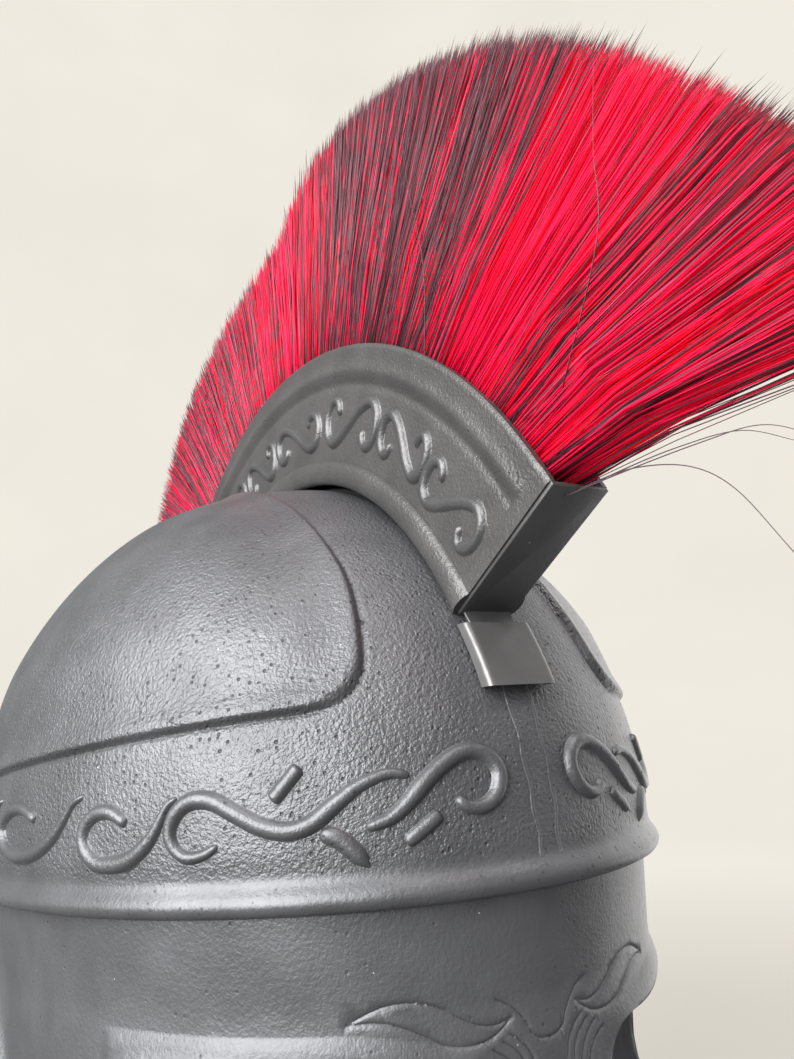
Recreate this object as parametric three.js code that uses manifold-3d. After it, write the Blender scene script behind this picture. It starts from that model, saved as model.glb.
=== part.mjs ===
// Roman legionary helmet: an open-faced steel helmet with a box crest and a dyed brush.
// Millimetres, +Z up. The helmet looks along -Y and the wearer's right is -X.
// The origin is on the ground plane it stands on, under the middle of the crown.

import * as THREE from 'three';
import { mergeVertices } from 'three/addons/utils/BufferGeometryUtils.js';
import Module from 'manifold-3d';

const wasm = await Module();
wasm.setup();

// Driving dimensions
const SHEET = 1.2;                 // thickness of the sheet steel
const GAP = 0.3;                   // clearance between neighbouring pieces
const BEAD_Z = 135;                // lower edge of the bead, above the ground plane
const WIDEST_Y = 25;               // the plan is egg shaped: its widest line lies behind the middle

const WALL_HALF_WIDTH = 97.5;      // lower wall, at its top
const WALL_HALF_LENGTH = 116.8;

const DOME_HALF_WIDTH = 102;       // crown, at its springing line
const DOME_HALF_LENGTH = 118.6;
const DOME_Z = BEAD_Z + 12;        // springing line of the crown
const CROWN_RISE = 111;            // from the springing line to the apex
const LONG_POWER = 1.7;            // roundness of the profile from front to back
const CROWN_SOFTNESS = 0.15;       // takes the crease off the top of that profile
const CROSS_POWER = 2.18;          // roundness of each cross-section

// Bead: height above its lower edge, and how far it stands out from the wall at the sides and at the ends
const BEAD_OUTSIDE = [[0, 1.8, 1.6], [1, 4.2, 3.2], [3.5, 5.2, 4.2], [7, 3.6, 2]];
const BEAD_INSIDE = [[7, 1.6, GAP + 0.2], [0, GAP, GAP]];

const PANEL_RISE = 2.2;            // raised side panels
const PANEL_INNER_X = 30;
const PANEL_FLARE = 6;             // its inner edge leans outward towards its lower corner
const PANEL_FLARE_HEIGHT = 45;
const PANEL_LOW_Z = BEAD_Z + 33.2;
const PANEL_LOW_SLOPE = 0.076;
const PANEL_CORNER = 11;
const PANEL_EDGE = 3.5;

const CREST_Z = BEAD_Z + 5.9;      // centre of the crest's arcs
const CREST_INNER = 118.8;
const CREST_OUTER = 162.7;
const CREST_HALF_ANGLE = 62.2;
const CREST_WIDTH = 16.2;
const CREST_BEAD_OUTER = 125.4;    // rolled bead along the inner edge of a side plate
const CREST_BORDER_INNER = 153;    // raised border along its outer edge

const BRUSH_BASE = 128.2;
const BRUSH_TIP = 243;
const BRUSH_TIP_DROP = 3;          // the tips are that much shorter at the two ends
const BRUSH_TIP_HALF_WIDTH = 10;
const BRUSH_LOW_ANGLE = 64;        // half angle of the fan just above the box
const BRUSH_HALF_ANGLE = 69.5;     // half angle of the fan at its tips

const TAB_WIDTH = 19.5;
const TAB_TOP_Z = BEAD_Z + 58.6;
const TAB_LOW_Z = BEAD_Z + 43;
const TAB_DEPTH = 4.2;
const TONGUE_WIDTH = 14;           // tongues on the crest's end caps, which slide into the sockets
const TONGUE_LIFT = 1.2;           // clearance between a tongue and the dome
const CREST_FOOT_Z = CREST_Z + CREST_INNER * Math.cos(CREST_HALF_ANGLE * Math.PI / 180) + 1;

const TUCK = 9;                    // height of wall that stands up inside the cap
const CHEEK_TOP_TAPER = 0.1;       // inward slope of the wall just under the bead
const CHEEK_TOP_HEIGHT = 20;
const CHEEK_TAPER = 0.045;         // and below that
const NAPE_TUCK = 2;               // the back of the wall draws in a little before it flares
const NAPE_FLARE = 24;
const NAPE_FLARE_DEPTH = 50;       // depth below the bead at which the flare starts
const NAPE_FLARE_POWER = 1.8;
const NAPE_TURN = [95, 135];       // degrees from the front over which cheek turns into nape

const RIDGE_Z = BEAD_Z - 26.2;     // brow ridges, over the eyes
const RIDGE_DIP = 4;               // they dip that much towards the nose
const RIDGE_OUT = 3.2;
const RIDGE_HALF_HEIGHT = 3.2;

const FACE_HALF_WIDTH = 80;        // face opening, at eye level
const BROW_Z = BEAD_Z - 30;        // its upper edge
const NOSE_HALF_WIDTH = 9;
const NOSE_TIP_Z = BEAD_Z - 82;
const EAR_Y = 32;
const EAR_Z = BEAD_Z - 64;
const EAR_RADIUS = 40;

const rad = THREE.MathUtils.degToRad;
const { smoothstep, lerp } = THREE.MathUtils;

// Closed solids from rings of points

function triangleMesh(points, indices) {
  const geometry = new THREE.BufferGeometry();
  const numbers = points.flatMap((p) => [p.x, p.y, p.z]);
  geometry.setAttribute('position', new THREE.Float32BufferAttribute(numbers, 3));
  geometry.setIndex(indices);
  return geometry;
}

function signedVolume(points, indices) {
  let sum = 0;
  for (let i = 0; i < indices.length; i += 3) {
    const [a, b, c] = [points[indices[i]], points[indices[i + 1]], points[indices[i + 2]]];
    sum += a.dot(new THREE.Vector3().crossVectors(b, c));
  }
  return sum;
}

// Joins a list of closed rings, each with the same number of points, into one closed surface.
// ends: 'loop' joins the last ring to the first, 'flat' closes both ends with a flat face, and
// 'ladder' closes them with rungs between the two halves of a ring that mirror each other.
// poles: ring numbers that are single points.
function ringSolid(rings, ends, poles = []) {
  const points = [];
  const starts = rings.map((ring, i) => {
    const start = points.length;
    points.push(...(poles.includes(i) ? [ring[0]] : ring));
    return start;
  });
  const count = rings.find((ring, i) => !poles.includes(i)).length;
  const at = (i, j) => (poles.includes(i) ? starts[i] : starts[i] + (j % count));
  const indices = [];
  const triangle = (a, b, c) => {
    if (a !== b && b !== c && a !== c) indices.push(a, b, c);
  };
  const pairs = ends === 'loop' ? rings.length : rings.length - 1;
  for (let i = 0; i < pairs; i += 1) {
    const k = (i + 1) % rings.length;
    for (let j = 0; j < count; j += 1) {
      triangle(at(i, j), at(i, j + 1), at(k, j + 1));
      triangle(at(i, j), at(k, j + 1), at(k, j));
    }
  }
  if (ends === 'flat') {
    for (const [ring, flip] of [[0, true], [rings.length - 1, false]]) {
      const outline = flatOutline(rings[ring]);
      for (const [a, b, c] of THREE.ShapeUtils.triangulateShape(outline, [])) {
        const order = THREE.ShapeUtils.isClockWise(outline) === flip ? [a, b, c] : [a, c, b];
        triangle(...order.map((v) => starts[ring] + v));
      }
    }
  }
  if (ends === 'ladder') {
    for (const [ring, flip] of [[0, true], [rings.length - 1, false]]) {
      for (let j = 0; j + 1 < count / 2; j += 1) {
        const [a, b, c, d] = [j, j + 1, count - 2 - j, count - 1 - j].map((k) => at(ring, k));
        if (flip) [[a, c, b], [a, d, c]].forEach((corners) => triangle(...corners));
        else [[a, b, c], [a, c, d]].forEach((corners) => triangle(...corners));
      }
    }
  }
  if (signedVolume(points, indices) < 0) {
    for (let i = 0; i < indices.length; i += 3) {
      [indices[i + 1], indices[i + 2]] = [indices[i + 2], indices[i + 1]];
    }
  }
  return triangleMesh(points, indices);
}

// A ring's points in its own best plane, for the triangulation of an end face.
function flatOutline(ring) {
  const normal = new THREE.Vector3();
  ring.forEach((p, i) => normal.add(new THREE.Vector3().crossVectors(p, ring[(i + 1) % ring.length])));
  normal.normalize();
  const across = new THREE.Vector3().subVectors(ring[1], ring[0]).normalize();
  const up = new THREE.Vector3().crossVectors(normal, across);
  return ring.map((p) => new THREE.Vector2(p.dot(across), p.dot(up)));
}

function manifoldFrom(geometry) {
  const clean = geometry.clone();
  clean.deleteAttribute('normal');
  clean.deleteAttribute('uv');
  const merged = mergeVertices(clean, 1e-4);
  return new wasm.Manifold(new wasm.Mesh({
    numProp: 3,
    vertProperties: new Float32Array(merged.attributes.position.array),
    triVerts: new Uint32Array(merged.index.array),
  }));
}

function geometryFrom(solid) {
  const mesh = solid.getMesh();
  const geometry = new THREE.BufferGeometry();
  geometry.setAttribute('position', new THREE.BufferAttribute(mesh.vertProperties, 3));
  geometry.setIndex(new THREE.BufferAttribute(mesh.triVerts, 1));
  return geometry;
}

// The plan of the helmet: an egg made of two half ellipses that meet on the widest line.
// turn is 0 at the front and a quarter turn on the wearer's right.
function planPoint(turn, halfWidth, halfLength) {
  const reach = Math.cos(turn) > 0 ? halfLength + WIDEST_Y : halfLength - WIDEST_Y;
  return new THREE.Vector2(-halfWidth * Math.sin(turn), WIDEST_Y - reach * Math.cos(turn));
}

// Skull cap

const softEdge = CROWN_SOFTNESS ** LONG_POWER;
const softSpan = (1 + CROWN_SOFTNESS ** 2) ** (LONG_POWER / 2) - softEdge;

// Height of the crown's middle line above the springing line, y being the station along the helmet.
function crownProfile(y) {
  const along = ((y / DOME_HALF_LENGTH) ** 2 + CROWN_SOFTNESS ** 2) ** (LONG_POWER / 2);
  return CROWN_RISE * Math.sqrt(Math.max(0, 1 - (along - softEdge) / softSpan));
}

// A point of the crown: level runs from 0 at the springing line to 1 at the apex.
function crownPoint(turn, level) {
  const rise = Math.sin(level * Math.PI / 2);
  const along = softEdge + softSpan * (1 - rise * rise);
  const reach = DOME_HALF_LENGTH * Math.sqrt(Math.max(0, along ** (2 / LONG_POWER) - CROWN_SOFTNESS ** 2));
  const y = -reach * Math.cos(turn);
  const rear = y > WIDEST_Y ? DOME_HALF_LENGTH - WIDEST_Y : DOME_HALF_LENGTH + WIDEST_Y;
  const base = DOME_HALF_WIDTH * Math.sqrt(Math.max(0, 1 - ((y - WIDEST_Y) / rear) ** 2));
  const share = Math.min(1, rise * CROWN_RISE / Math.max(crownProfile(y), 1e-6));
  const x = base * Math.max(0, 1 - share ** CROSS_POWER) ** (1 / CROSS_POWER);
  return new THREE.Vector3(-Math.sign(Math.sin(turn)) * x, y, DOME_Z + rise * CROWN_RISE);
}

// How far inside the outline of a side panel a point lies, negative outside it.
function panelDepth(point) {
  const lean = PANEL_FLARE * (1 - smoothstep(point.z, PANEL_LOW_Z, PANEL_LOW_Z + PANEL_FLARE_HEIGHT));
  const fromInner = Math.abs(point.x) - PANEL_INNER_X - lean;
  const fromLow = point.z - PANEL_LOW_Z - PANEL_LOW_SLOPE * Math.abs(point.y);
  if (fromInner > PANEL_CORNER || fromLow > PANEL_CORNER) return Math.min(fromInner, fromLow);
  return PANEL_CORNER - Math.hypot(PANEL_CORNER - fromInner, PANEL_CORNER - fromLow);
}

function crownNormal(turn, level) {
  const step = 1e-3;
  const low = crownPoint(turn, Math.max(0, level - step));
  const high = crownPoint(turn, Math.min(1, level + step));
  const along = crownPoint(turn + step, level).sub(crownPoint(turn - step, level));
  const normal = new THREE.Vector3().crossVectors(high.sub(low), along).normalize();
  return normal.dot(crownPoint(turn, level).setZ(0)) < 0 ? normal.negate() : normal;
}

function crownSkin(turn, level, inset) {
  const point = crownPoint(turn, level);
  const rise = PANEL_RISE * smoothstep(panelDepth(point), 0, PANEL_EDGE);
  return point.addScaledVector(crownNormal(turn, level), rise - inset);
}

function skullCap() {
  const around = 64;
  const turns = Array.from({ length: around }, (_, j) => j * 2 * Math.PI / around);
  const levelRing = (level, inset) => turns.map((turn) => crownSkin(turn, level, inset));
  const beadRing = ([height, side, end]) => turns.map((turn) => {
    const p = planPoint(turn, WALL_HALF_WIDTH + side, WALL_HALF_LENGTH + end);
    return new THREE.Vector3(p.x, p.y, BEAD_Z + height);
  });
  const apex = (inset) => [new THREE.Vector3(0, 0, DOME_Z + CROWN_RISE - inset)];
  const outerLevels = 19;
  const innerLevels = 11;
  const rings = BEAD_OUTSIDE.map(beadRing);
  for (let i = 0; i < outerLevels; i += 1) rings.push(levelRing(i / outerLevels, 0));
  const poles = [rings.length];
  rings.push(apex(0));
  poles.push(rings.length);
  rings.push(apex(SHEET));
  for (let i = innerLevels - 1; i >= 0; i -= 1) rings.push(levelRing(i / innerLevels, SHEET));
  rings.push(...BEAD_INSIDE.map(beadRing));
  return ringSolid(rings, 'loop', poles);
}

// Lower wall

// How far the wall stands out from its top outline: inward towards the cheeks, flared at the nape.
function wallLean(turn, z) {
  const depth = BEAD_Z - z;
  const fromFront = Math.abs(Math.atan2(Math.sin(turn), Math.cos(turn)));
  const nape = smoothstep(fromFront, ...NAPE_TURN.map(rad));
  const cheek = CHEEK_TOP_TAPER * Math.min(depth, CHEEK_TOP_HEIGHT)
    + CHEEK_TAPER * Math.max(0, depth - CHEEK_TOP_HEIGHT);
  const below = Math.max(0, depth - NAPE_FLARE_DEPTH) / (BEAD_Z - NAPE_FLARE_DEPTH);
  const flare = NAPE_FLARE * below ** NAPE_FLARE_POWER - NAPE_TUCK * smoothstep(depth, 0, NAPE_FLARE_DEPTH);
  return lerp(-cheek, flare, nape);
}

// The brow ridge: it runs level over each eye and dips towards the nose.
function browRidge(turn, z) {
  const side = THREE.MathUtils.radToDeg(Math.abs(Math.atan2(Math.sin(turn), Math.cos(turn))));
  const line = RIDGE_Z - RIDGE_DIP * (1 - smoothstep(side, 10, 28));
  const length = smoothstep(side, 6, 14) * (1 - smoothstep(side, 54, 57));
  const fall = smoothstep(Math.abs(z - line), RIDGE_HALF_HEIGHT / 4, RIDGE_HALF_HEIGHT);
  return RIDGE_OUT * length * (1 - fall);
}

function faceCutter() {
  const shape = new THREE.Shape();
  shape.moveTo(0, NOSE_TIP_Z);
  for (const side of [1, -1]) {
    const nose = [
      [NOSE_HALF_WIDTH + 2, NOSE_TIP_Z + 14], [NOSE_HALF_WIDTH, BROW_Z - 14], [15, BROW_Z - 3.5],
    ];
    const brow = [
      [30, BROW_Z], [FACE_HALF_WIDTH - 8, BROW_Z], [FACE_HALF_WIDTH, BROW_Z - 8],
    ];
    const cheek = [
      [FACE_HALF_WIDTH, BEAD_Z - 64], [76, BEAD_Z - 73], [66, BEAD_Z - 80], [59, BEAD_Z - 89],
      [58, BEAD_Z - 97], [61, BEAD_Z - 105], [58, BEAD_Z - 114], [57, 12], [61, 4], [70, -1], [70, -10],
    ];
    const run = [...nose, ...brow, ...cheek];
    if (side === -1) run.reverse();
    run.forEach(([x, z]) => shape.lineTo(side * x, z));
  }
  shape.closePath();
  const prism = new THREE.ExtrudeGeometry(shape, { depth: 200, bevelEnabled: false });
  prism.rotateX(Math.PI / 2);
  return manifoldFrom(prism);
}

function earCutter() {
  const shape = new THREE.Shape();
  const arch = 14;
  for (let i = 0; i <= arch; i += 1) {
    const angle = Math.PI * i / arch;
    const [y, z] = [EAR_Y + EAR_RADIUS * Math.cos(angle), EAR_Z + EAR_RADIUS * Math.sin(angle)];
    if (i === 0) shape.moveTo(y, z);
    else shape.lineTo(y, z);
  }
  for (const [y, z] of [[0, 34], [6, -10], [50, -10], [62, 34]]) shape.lineTo(y, z);
  shape.closePath();
  const prism = new THREE.ExtrudeGeometry(shape, { depth: 400, bevelEnabled: false });
  prism.translate(0, 0, -200);
  prism.rotateX(Math.PI / 2);
  prism.rotateZ(Math.PI / 2);
  return manifoldFrom(prism);
}

function faceSkirt() {
  const around = 72;
  const turns = Array.from({ length: around }, (_, j) => j * 2 * Math.PI / around);
  const ring = (z, inset) => turns.map((turn) => {
    const out = wallLean(turn, Math.min(z, BEAD_Z)) + browRidge(turn, z) - inset;
    const p = planPoint(turn, WALL_HALF_WIDTH + out, WALL_HALF_LENGTH + out);
    return new THREE.Vector3(p.x, p.y, z);
  });
  const outerDepths = [-TUCK, GAP, 20, 23.5, 26.2, 29, 33, 50, 75, 95, 112, 124, BEAD_Z];
  const innerDepths = [-TUCK, 20, 26.2, 33, 60, 95, 120, BEAD_Z].reverse();
  const outside = outerDepths.map((depth) => ring(BEAD_Z - depth, 0));
  const inside = innerDepths.map((depth) => ring(BEAD_Z - depth, SHEET));
  const wall = ringSolid([...outside, ...inside], 'loop');
  return geometryFrom(manifoldFrom(wall).subtract(faceCutter()).subtract(earCutter()));
}

// Crest box

// A point at a radius and an angle from the top of the crest, positive towards the front.
function crestPoint(x, radius, degrees) {
  return new THREE.Vector3(x, -radius * Math.sin(rad(degrees)), CREST_Z + radius * Math.cos(rad(degrees)));
}

// Sweeps a closed outline of [x, radius] pairs round the crest's centre, between two angles.
function crestSweep(outline, halfAngle, steps) {
  const rings = Array.from({ length: steps + 1 }, (_, i) => {
    const degrees = lerp(-halfAngle, halfAngle, i / steps);
    return outline.map(([x, radius]) => crestPoint(x, radius, degrees));
  });
  return ringSolid(rings, 'flat');
}

function crestSide(side) {
  const face = CREST_WIDTH / 2;
  const back = face - SHEET;
  const proud = face + 1.6;
  const middle = (CREST_INNER + CREST_BEAD_OUTER) / 2;
  const outline = [
    [back, CREST_INNER], [face, CREST_INNER], [proud, middle - 1.4], [proud, middle + 1.4],
    [face, CREST_BEAD_OUTER], [face, CREST_BORDER_INNER - 1], [face + 1, CREST_BORDER_INNER + 1],
    [face + 1, CREST_OUTER - 1], [face + 0.4, CREST_OUTER], [back, CREST_OUTER],
  ].map(([x, radius]) => [side * x, radius]);
  return crestSweep(outline, CREST_HALF_ANGLE - 0.8, 30);
}

// Where the crown's middle line lies at a height, in front, and how far out a point stands from it.
function crownFront(z, out) {
  const level = Math.asin((z - DOME_Z) / CROWN_RISE) / (Math.PI / 2);
  return crownPoint(0, level).addScaledVector(crownNormal(0.001, level), out).y;
}

// The tongue at the foot of an end cap: it slides down into the socket on the dome.
function tongue() {
  const half = TONGUE_WIDTH / 2;
  const steps = 4;
  const rings = Array.from({ length: steps + 1 }, (_, i) => {
    const z = lerp(TAB_LOW_Z + 2, CREST_FOOT_Z, i / steps);
    const [near, far] = [crownFront(z, TONGUE_LIFT), crownFront(z, TONGUE_LIFT + SHEET)];
    const corners = [[-half, near], [half, near], [half, far], [-half, far]];
    return corners.map(([x, y]) => new THREE.Vector3(x, y, z));
  });
  return ringSolid(rings, 'flat');
}

function crestStrip() {
  const half = CREST_WIDTH / 2;
  const inside = half - SHEET - GAP;
  const floor = CREST_BEAD_OUTER + 0.4;
  const roof = floor + SHEET;
  const section = [[-inside, floor], [inside, floor], [inside, roof], [-inside, roof]];
  let strip = manifoldFrom(crestSweep(section, CREST_HALF_ANGLE - 0.1, 24));
  for (const end of [1, -1]) {
    const cap = new THREE.BoxGeometry(CREST_WIDTH, SHEET, CREST_OUTER - CREST_INNER);
    cap.translate(0, SHEET / 2, (CREST_OUTER + CREST_INNER) / 2);
    cap.rotateX(rad(CREST_HALF_ANGLE));
    cap.translate(0, 0, CREST_Z);
    for (const piece of [cap, tongue()]) {
      strip = strip.add(manifoldFrom(end === 1 ? piece : piece.rotateZ(Math.PI)));
    }
  }
  return geometryFrom(strip);
}

// Folded sockets on the dome under the crest's ends, open above and below

function tab(end) {
  const rows = 4;
  const half = TAB_WIDTH / 2;
  const foot = half - SHEET;
  const outline = [
    [-half, GAP], [-half, TAB_DEPTH], [half, TAB_DEPTH], [half, GAP],
    [foot, GAP], [foot, TAB_DEPTH - SHEET], [-foot, TAB_DEPTH - SHEET], [-foot, GAP],
  ];
  const rings = Array.from({ length: rows + 1 }, (_, i) => {
    const z = lerp(TAB_LOW_Z, TAB_TOP_Z, i / rows);
    return outline.map(([x, out]) => new THREE.Vector3(x, crownFront(z, out), z));
  });
  const geometry = ringSolid(rings, 'flat');
  return end === 1 ? geometry : geometry.rotateZ(Math.PI);
}

// Brush: the outer form of the bristles

function crestBrush() {
  const steps = 34;
  const base = CREST_WIDTH / 2 - SHEET - GAP - 0.2;
  const rows = [
    // radius, half width, half angle
    [BRUSH_BASE, base, CREST_HALF_ANGLE - 1.4],
    [CREST_OUTER + 1.2, base, CREST_HALF_ANGLE - 1.2],
    [CREST_OUTER + 6, base + 0.6, BRUSH_LOW_ANGLE],
    [CREST_OUTER + 30, lerp(base, BRUSH_TIP_HALF_WIDTH, 0.5), lerp(BRUSH_LOW_ANGLE, BRUSH_HALF_ANGLE, 0.7)],
    [CREST_OUTER + 54, BRUSH_TIP_HALF_WIDTH, BRUSH_HALF_ANGLE],
    [BRUSH_TIP - 4, BRUSH_TIP_HALF_WIDTH, BRUSH_HALF_ANGLE],
    [BRUSH_TIP, BRUSH_TIP_HALF_WIDTH - 5, BRUSH_HALF_ANGLE],
  ];
  const rings = Array.from({ length: steps + 1 }, (_, i) => {
    const place = lerp(-1, 1, i / steps);
    const corner = ([radius, halfWidth, halfAngle], side) => {
      const drop = BRUSH_TIP_DROP * place * place * smoothstep(radius, CREST_OUTER + 6, BRUSH_TIP - 10);
      return crestPoint(side * halfWidth, radius - drop, halfAngle * place);
    };
    return [...rows.map((row) => corner(row, 1)), ...rows.map((row) => corner(row, -1)).reverse()];
  });
  return ringSolid(rings, 'ladder');
}

// Assembly

const paint = () => new THREE.MeshStandardMaterial({ color: 0x55565a, roughness: 0.45, metalness: 0.55 });
const smooth = () => new THREE.MeshStandardMaterial({ color: 0x3f4043, roughness: 0.4, metalness: 0.5 });
const bristle = () => new THREE.MeshStandardMaterial({ color: 0xc4102c, roughness: 0.6, metalness: 0 });

const helmet = new THREE.Group();

function addPiece(name, geometry, material) {
  const mesh = new THREE.Mesh(geometry, material);
  mesh.name = name;
  helmet.add(mesh);
}

addPiece('skull_cap', skullCap(), paint());
addPiece('face_skirt', faceSkirt(), paint());
addPiece('crest_side_right', crestSide(-1), paint());
addPiece('crest_side_left', crestSide(1), paint());
addPiece('crest_strip', crestStrip(), smooth());
addPiece('front_tab', tab(1), smooth());
addPiece('rear_tab', tab(-1), smooth());
addPiece('crest_brush', crestBrush(), bristle());

export default helmet;
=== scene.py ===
"""Looks of a Roman legionary helmet: embossed steel shell, box crest and dyed bristles.

Shapes are worked out in millimetres in the helmet's own frame, +Z up, the wearer looking along -Y
and the wearer's right towards -X, and are written to meshes in metres.
"""

from __future__ import annotations

import logging
import math
from collections.abc import Callable, Iterable, Sequence
from dataclasses import dataclass
from enum import Enum

import bpy
import numpy as np
from mathutils import Matrix, Vector
from mathutils.geometry import delaunay_2d_cdt


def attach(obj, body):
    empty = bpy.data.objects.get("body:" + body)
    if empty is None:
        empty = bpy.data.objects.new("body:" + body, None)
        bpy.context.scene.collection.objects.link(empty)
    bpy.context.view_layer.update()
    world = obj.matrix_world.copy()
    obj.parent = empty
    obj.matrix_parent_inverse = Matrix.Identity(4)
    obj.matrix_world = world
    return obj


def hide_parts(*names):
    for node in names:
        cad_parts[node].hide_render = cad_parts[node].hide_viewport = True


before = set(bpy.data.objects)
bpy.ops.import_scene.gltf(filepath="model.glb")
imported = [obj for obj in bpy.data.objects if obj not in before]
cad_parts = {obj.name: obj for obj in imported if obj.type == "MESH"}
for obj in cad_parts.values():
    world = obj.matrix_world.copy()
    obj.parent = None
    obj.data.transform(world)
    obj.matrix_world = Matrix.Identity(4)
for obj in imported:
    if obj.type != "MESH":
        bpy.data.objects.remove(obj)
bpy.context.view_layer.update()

LOG = logging.getLogger("helmet")
MM = 0.001
ROOT = "root"
TINY = 1e-12                   # keeps a division from meeting nought
FAR = 1e9                      # further than anything here
Pair = tuple[float, float]
Triple = tuple[float, float, float]
Surface = Callable[[np.ndarray], np.ndarray]    # turns numbers into points or levels


# ---- Numbers and curves ----


def smooth(value: np.ndarray | float, low: float, high: float) -> np.ndarray:
    """Smooth step of value from 0 at low to 1 at high."""
    t = np.clip((np.asarray(value, float) - low) / (high - low), 0.0, 1.0)
    return t * t * (3.0 - 2.0 * t)


def spline(points: Sequence[Sequence[float]], steps: int) -> np.ndarray:
    """Runs a smooth open curve through a few points.

    Args:
        points: the points, each with the same number of coordinates.
        steps: stretches between two neighbouring points.

    Returns:
        The points along the curve, one row each.
    """
    p = np.asarray(points, float)
    p = np.vstack([2 * p[0] - p[1], p, 2 * p[-1] - p[-2]])
    t = np.linspace(0.0, 1.0, steps, endpoint=False)[:, None]
    runs = []
    for a, b, c, d in zip(p[:-3], p[1:-2], p[2:-1], p[3:]):
        runs.append(0.5 * (2 * b + (c - a) * t + (2 * a - 5 * b + 4 * c - d) * t**2
                           + (3 * b - a - 3 * c + d) * t**3))
    return np.vstack([*runs, p[-2]])


def rounded(corners: Sequence[Triple], spacing: float) -> np.ndarray:
    """Rounds the corners of an open outline.

    Args:
        corners: (x, y, radius) of each corner; the radius of the two ends isn't used.
        spacing: the distance between neighbouring points.

    Returns:
        The outline as closely spaced points.
    """
    line: list[np.ndarray] = [np.array(corners[0][:2], float)]
    for before, here, after in zip(corners, corners[1:], corners[2:]):
        p, radius = np.array(here[:2], float), here[2]
        into = p - np.array(before[:2], float)
        out = np.array(after[:2], float) - p
        into /= np.linalg.norm(into)
        out /= np.linalg.norm(out)
        turn = math.acos(float(np.clip(into @ out, -1.0, 1.0)))
        reach = radius * math.tan(turn / 2)
        start, end = p - into * reach, p + out * reach
        count = max(2, round(radius * turn / spacing))
        for t in np.linspace(0.0, 1.0, count + 1):
            line.append((1 - t) ** 2 * start + 2 * t * (1 - t) * p + t**2 * end)
    line.append(np.array(corners[-1][:2], float))
    return respaced(np.array(line), spacing)


def unit(rows: np.ndarray) -> np.ndarray:
    """The same vectors at a length of 1."""
    return rows / np.maximum(np.linalg.norm(rows, axis=-1, keepdims=True), TINY)


def run_lengths(line: np.ndarray) -> np.ndarray:
    """How far along an open line each of its points lies."""
    return np.concatenate([[0.0], np.cumsum(np.linalg.norm(np.diff(line, axis=0), axis=1))])


def respaced(line: np.ndarray, spacing: float) -> np.ndarray:
    """The same open line with evenly spaced points, about spacing apart."""
    lengths = run_lengths(line)
    count = max(1, round(lengths[-1] / spacing))
    at = np.linspace(0.0, lengths[-1], count + 1)
    return np.stack([np.interp(at, lengths, line[:, k]) for k in range(line.shape[1])], axis=1)


def distance_to(points: np.ndarray, line: np.ndarray) -> np.ndarray:
    """Distance from each point to a line of points.

    Args:
        points: (n, d) points.
        line: (m, d) points along the line.

    Returns:
        (n,) smallest distances.
    """
    best = np.full(len(points), FAR)
    for a, b in zip(line[:-1], line[1:]):
        run = b - a
        t = np.clip(((points - a) @ run) / max(float(run @ run), TINY), 0.0, 1.0)
        best = np.minimum(best, np.linalg.norm(points - a - t[:, None] * run, axis=1))
    return best


# ---- Mesh work ----


class MeshWork:
    """Collects the points and faces of one closed piece, in millimetres."""

    def __init__(self) -> None:
        """Starts with nothing."""
        self.points: list[np.ndarray] = []
        self.faces: list[tuple[int, ...]] = []
        self.count = 0

    def add(self, points: np.ndarray) -> np.ndarray:
        """Adds points and returns their numbers."""
        numbers = np.arange(self.count, self.count + len(points))
        self.points.append(np.asarray(points, float))
        self.count += len(points)
        return numbers

    def join(self, loops: Sequence[np.ndarray]) -> None:
        """Joins rings of points one after another with faces.

        Args:
            loops: numbers of each ring's points; a ring may also be a single point.
        """
        for lower, upper in zip(loops, loops[1:]):
            count = max(len(lower), len(upper))
            for i in range(count):
                k = (i + 1) % count
                corners = (lower[i % len(lower)], lower[k % len(lower)],
                           upper[k % len(upper)], upper[i % len(upper)])
                self.faces.append(tuple(dict.fromkeys(corners)))

    def loft(self, rows: Iterable[np.ndarray]) -> None:
        """Adds rings of points, joins them one after another and closes both ends."""
        loops = [self.add(row) for row in rows]
        self.join(loops)
        self.faces += [tuple(loops[0][::-1]), tuple(loops[-1])]

    def finish(self, name: str, sharp_degrees: float, node: str, slot: str,
               material: bpy.types.Material) -> None:
        """Writes the piece as an object at the origin, its faces turned outwards, and fits it out."""
        piece = mesh_object(name, np.vstack(self.points) * MM, self.faces, sharp_degrees)
        fit_out(piece, node, slot, material)


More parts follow.
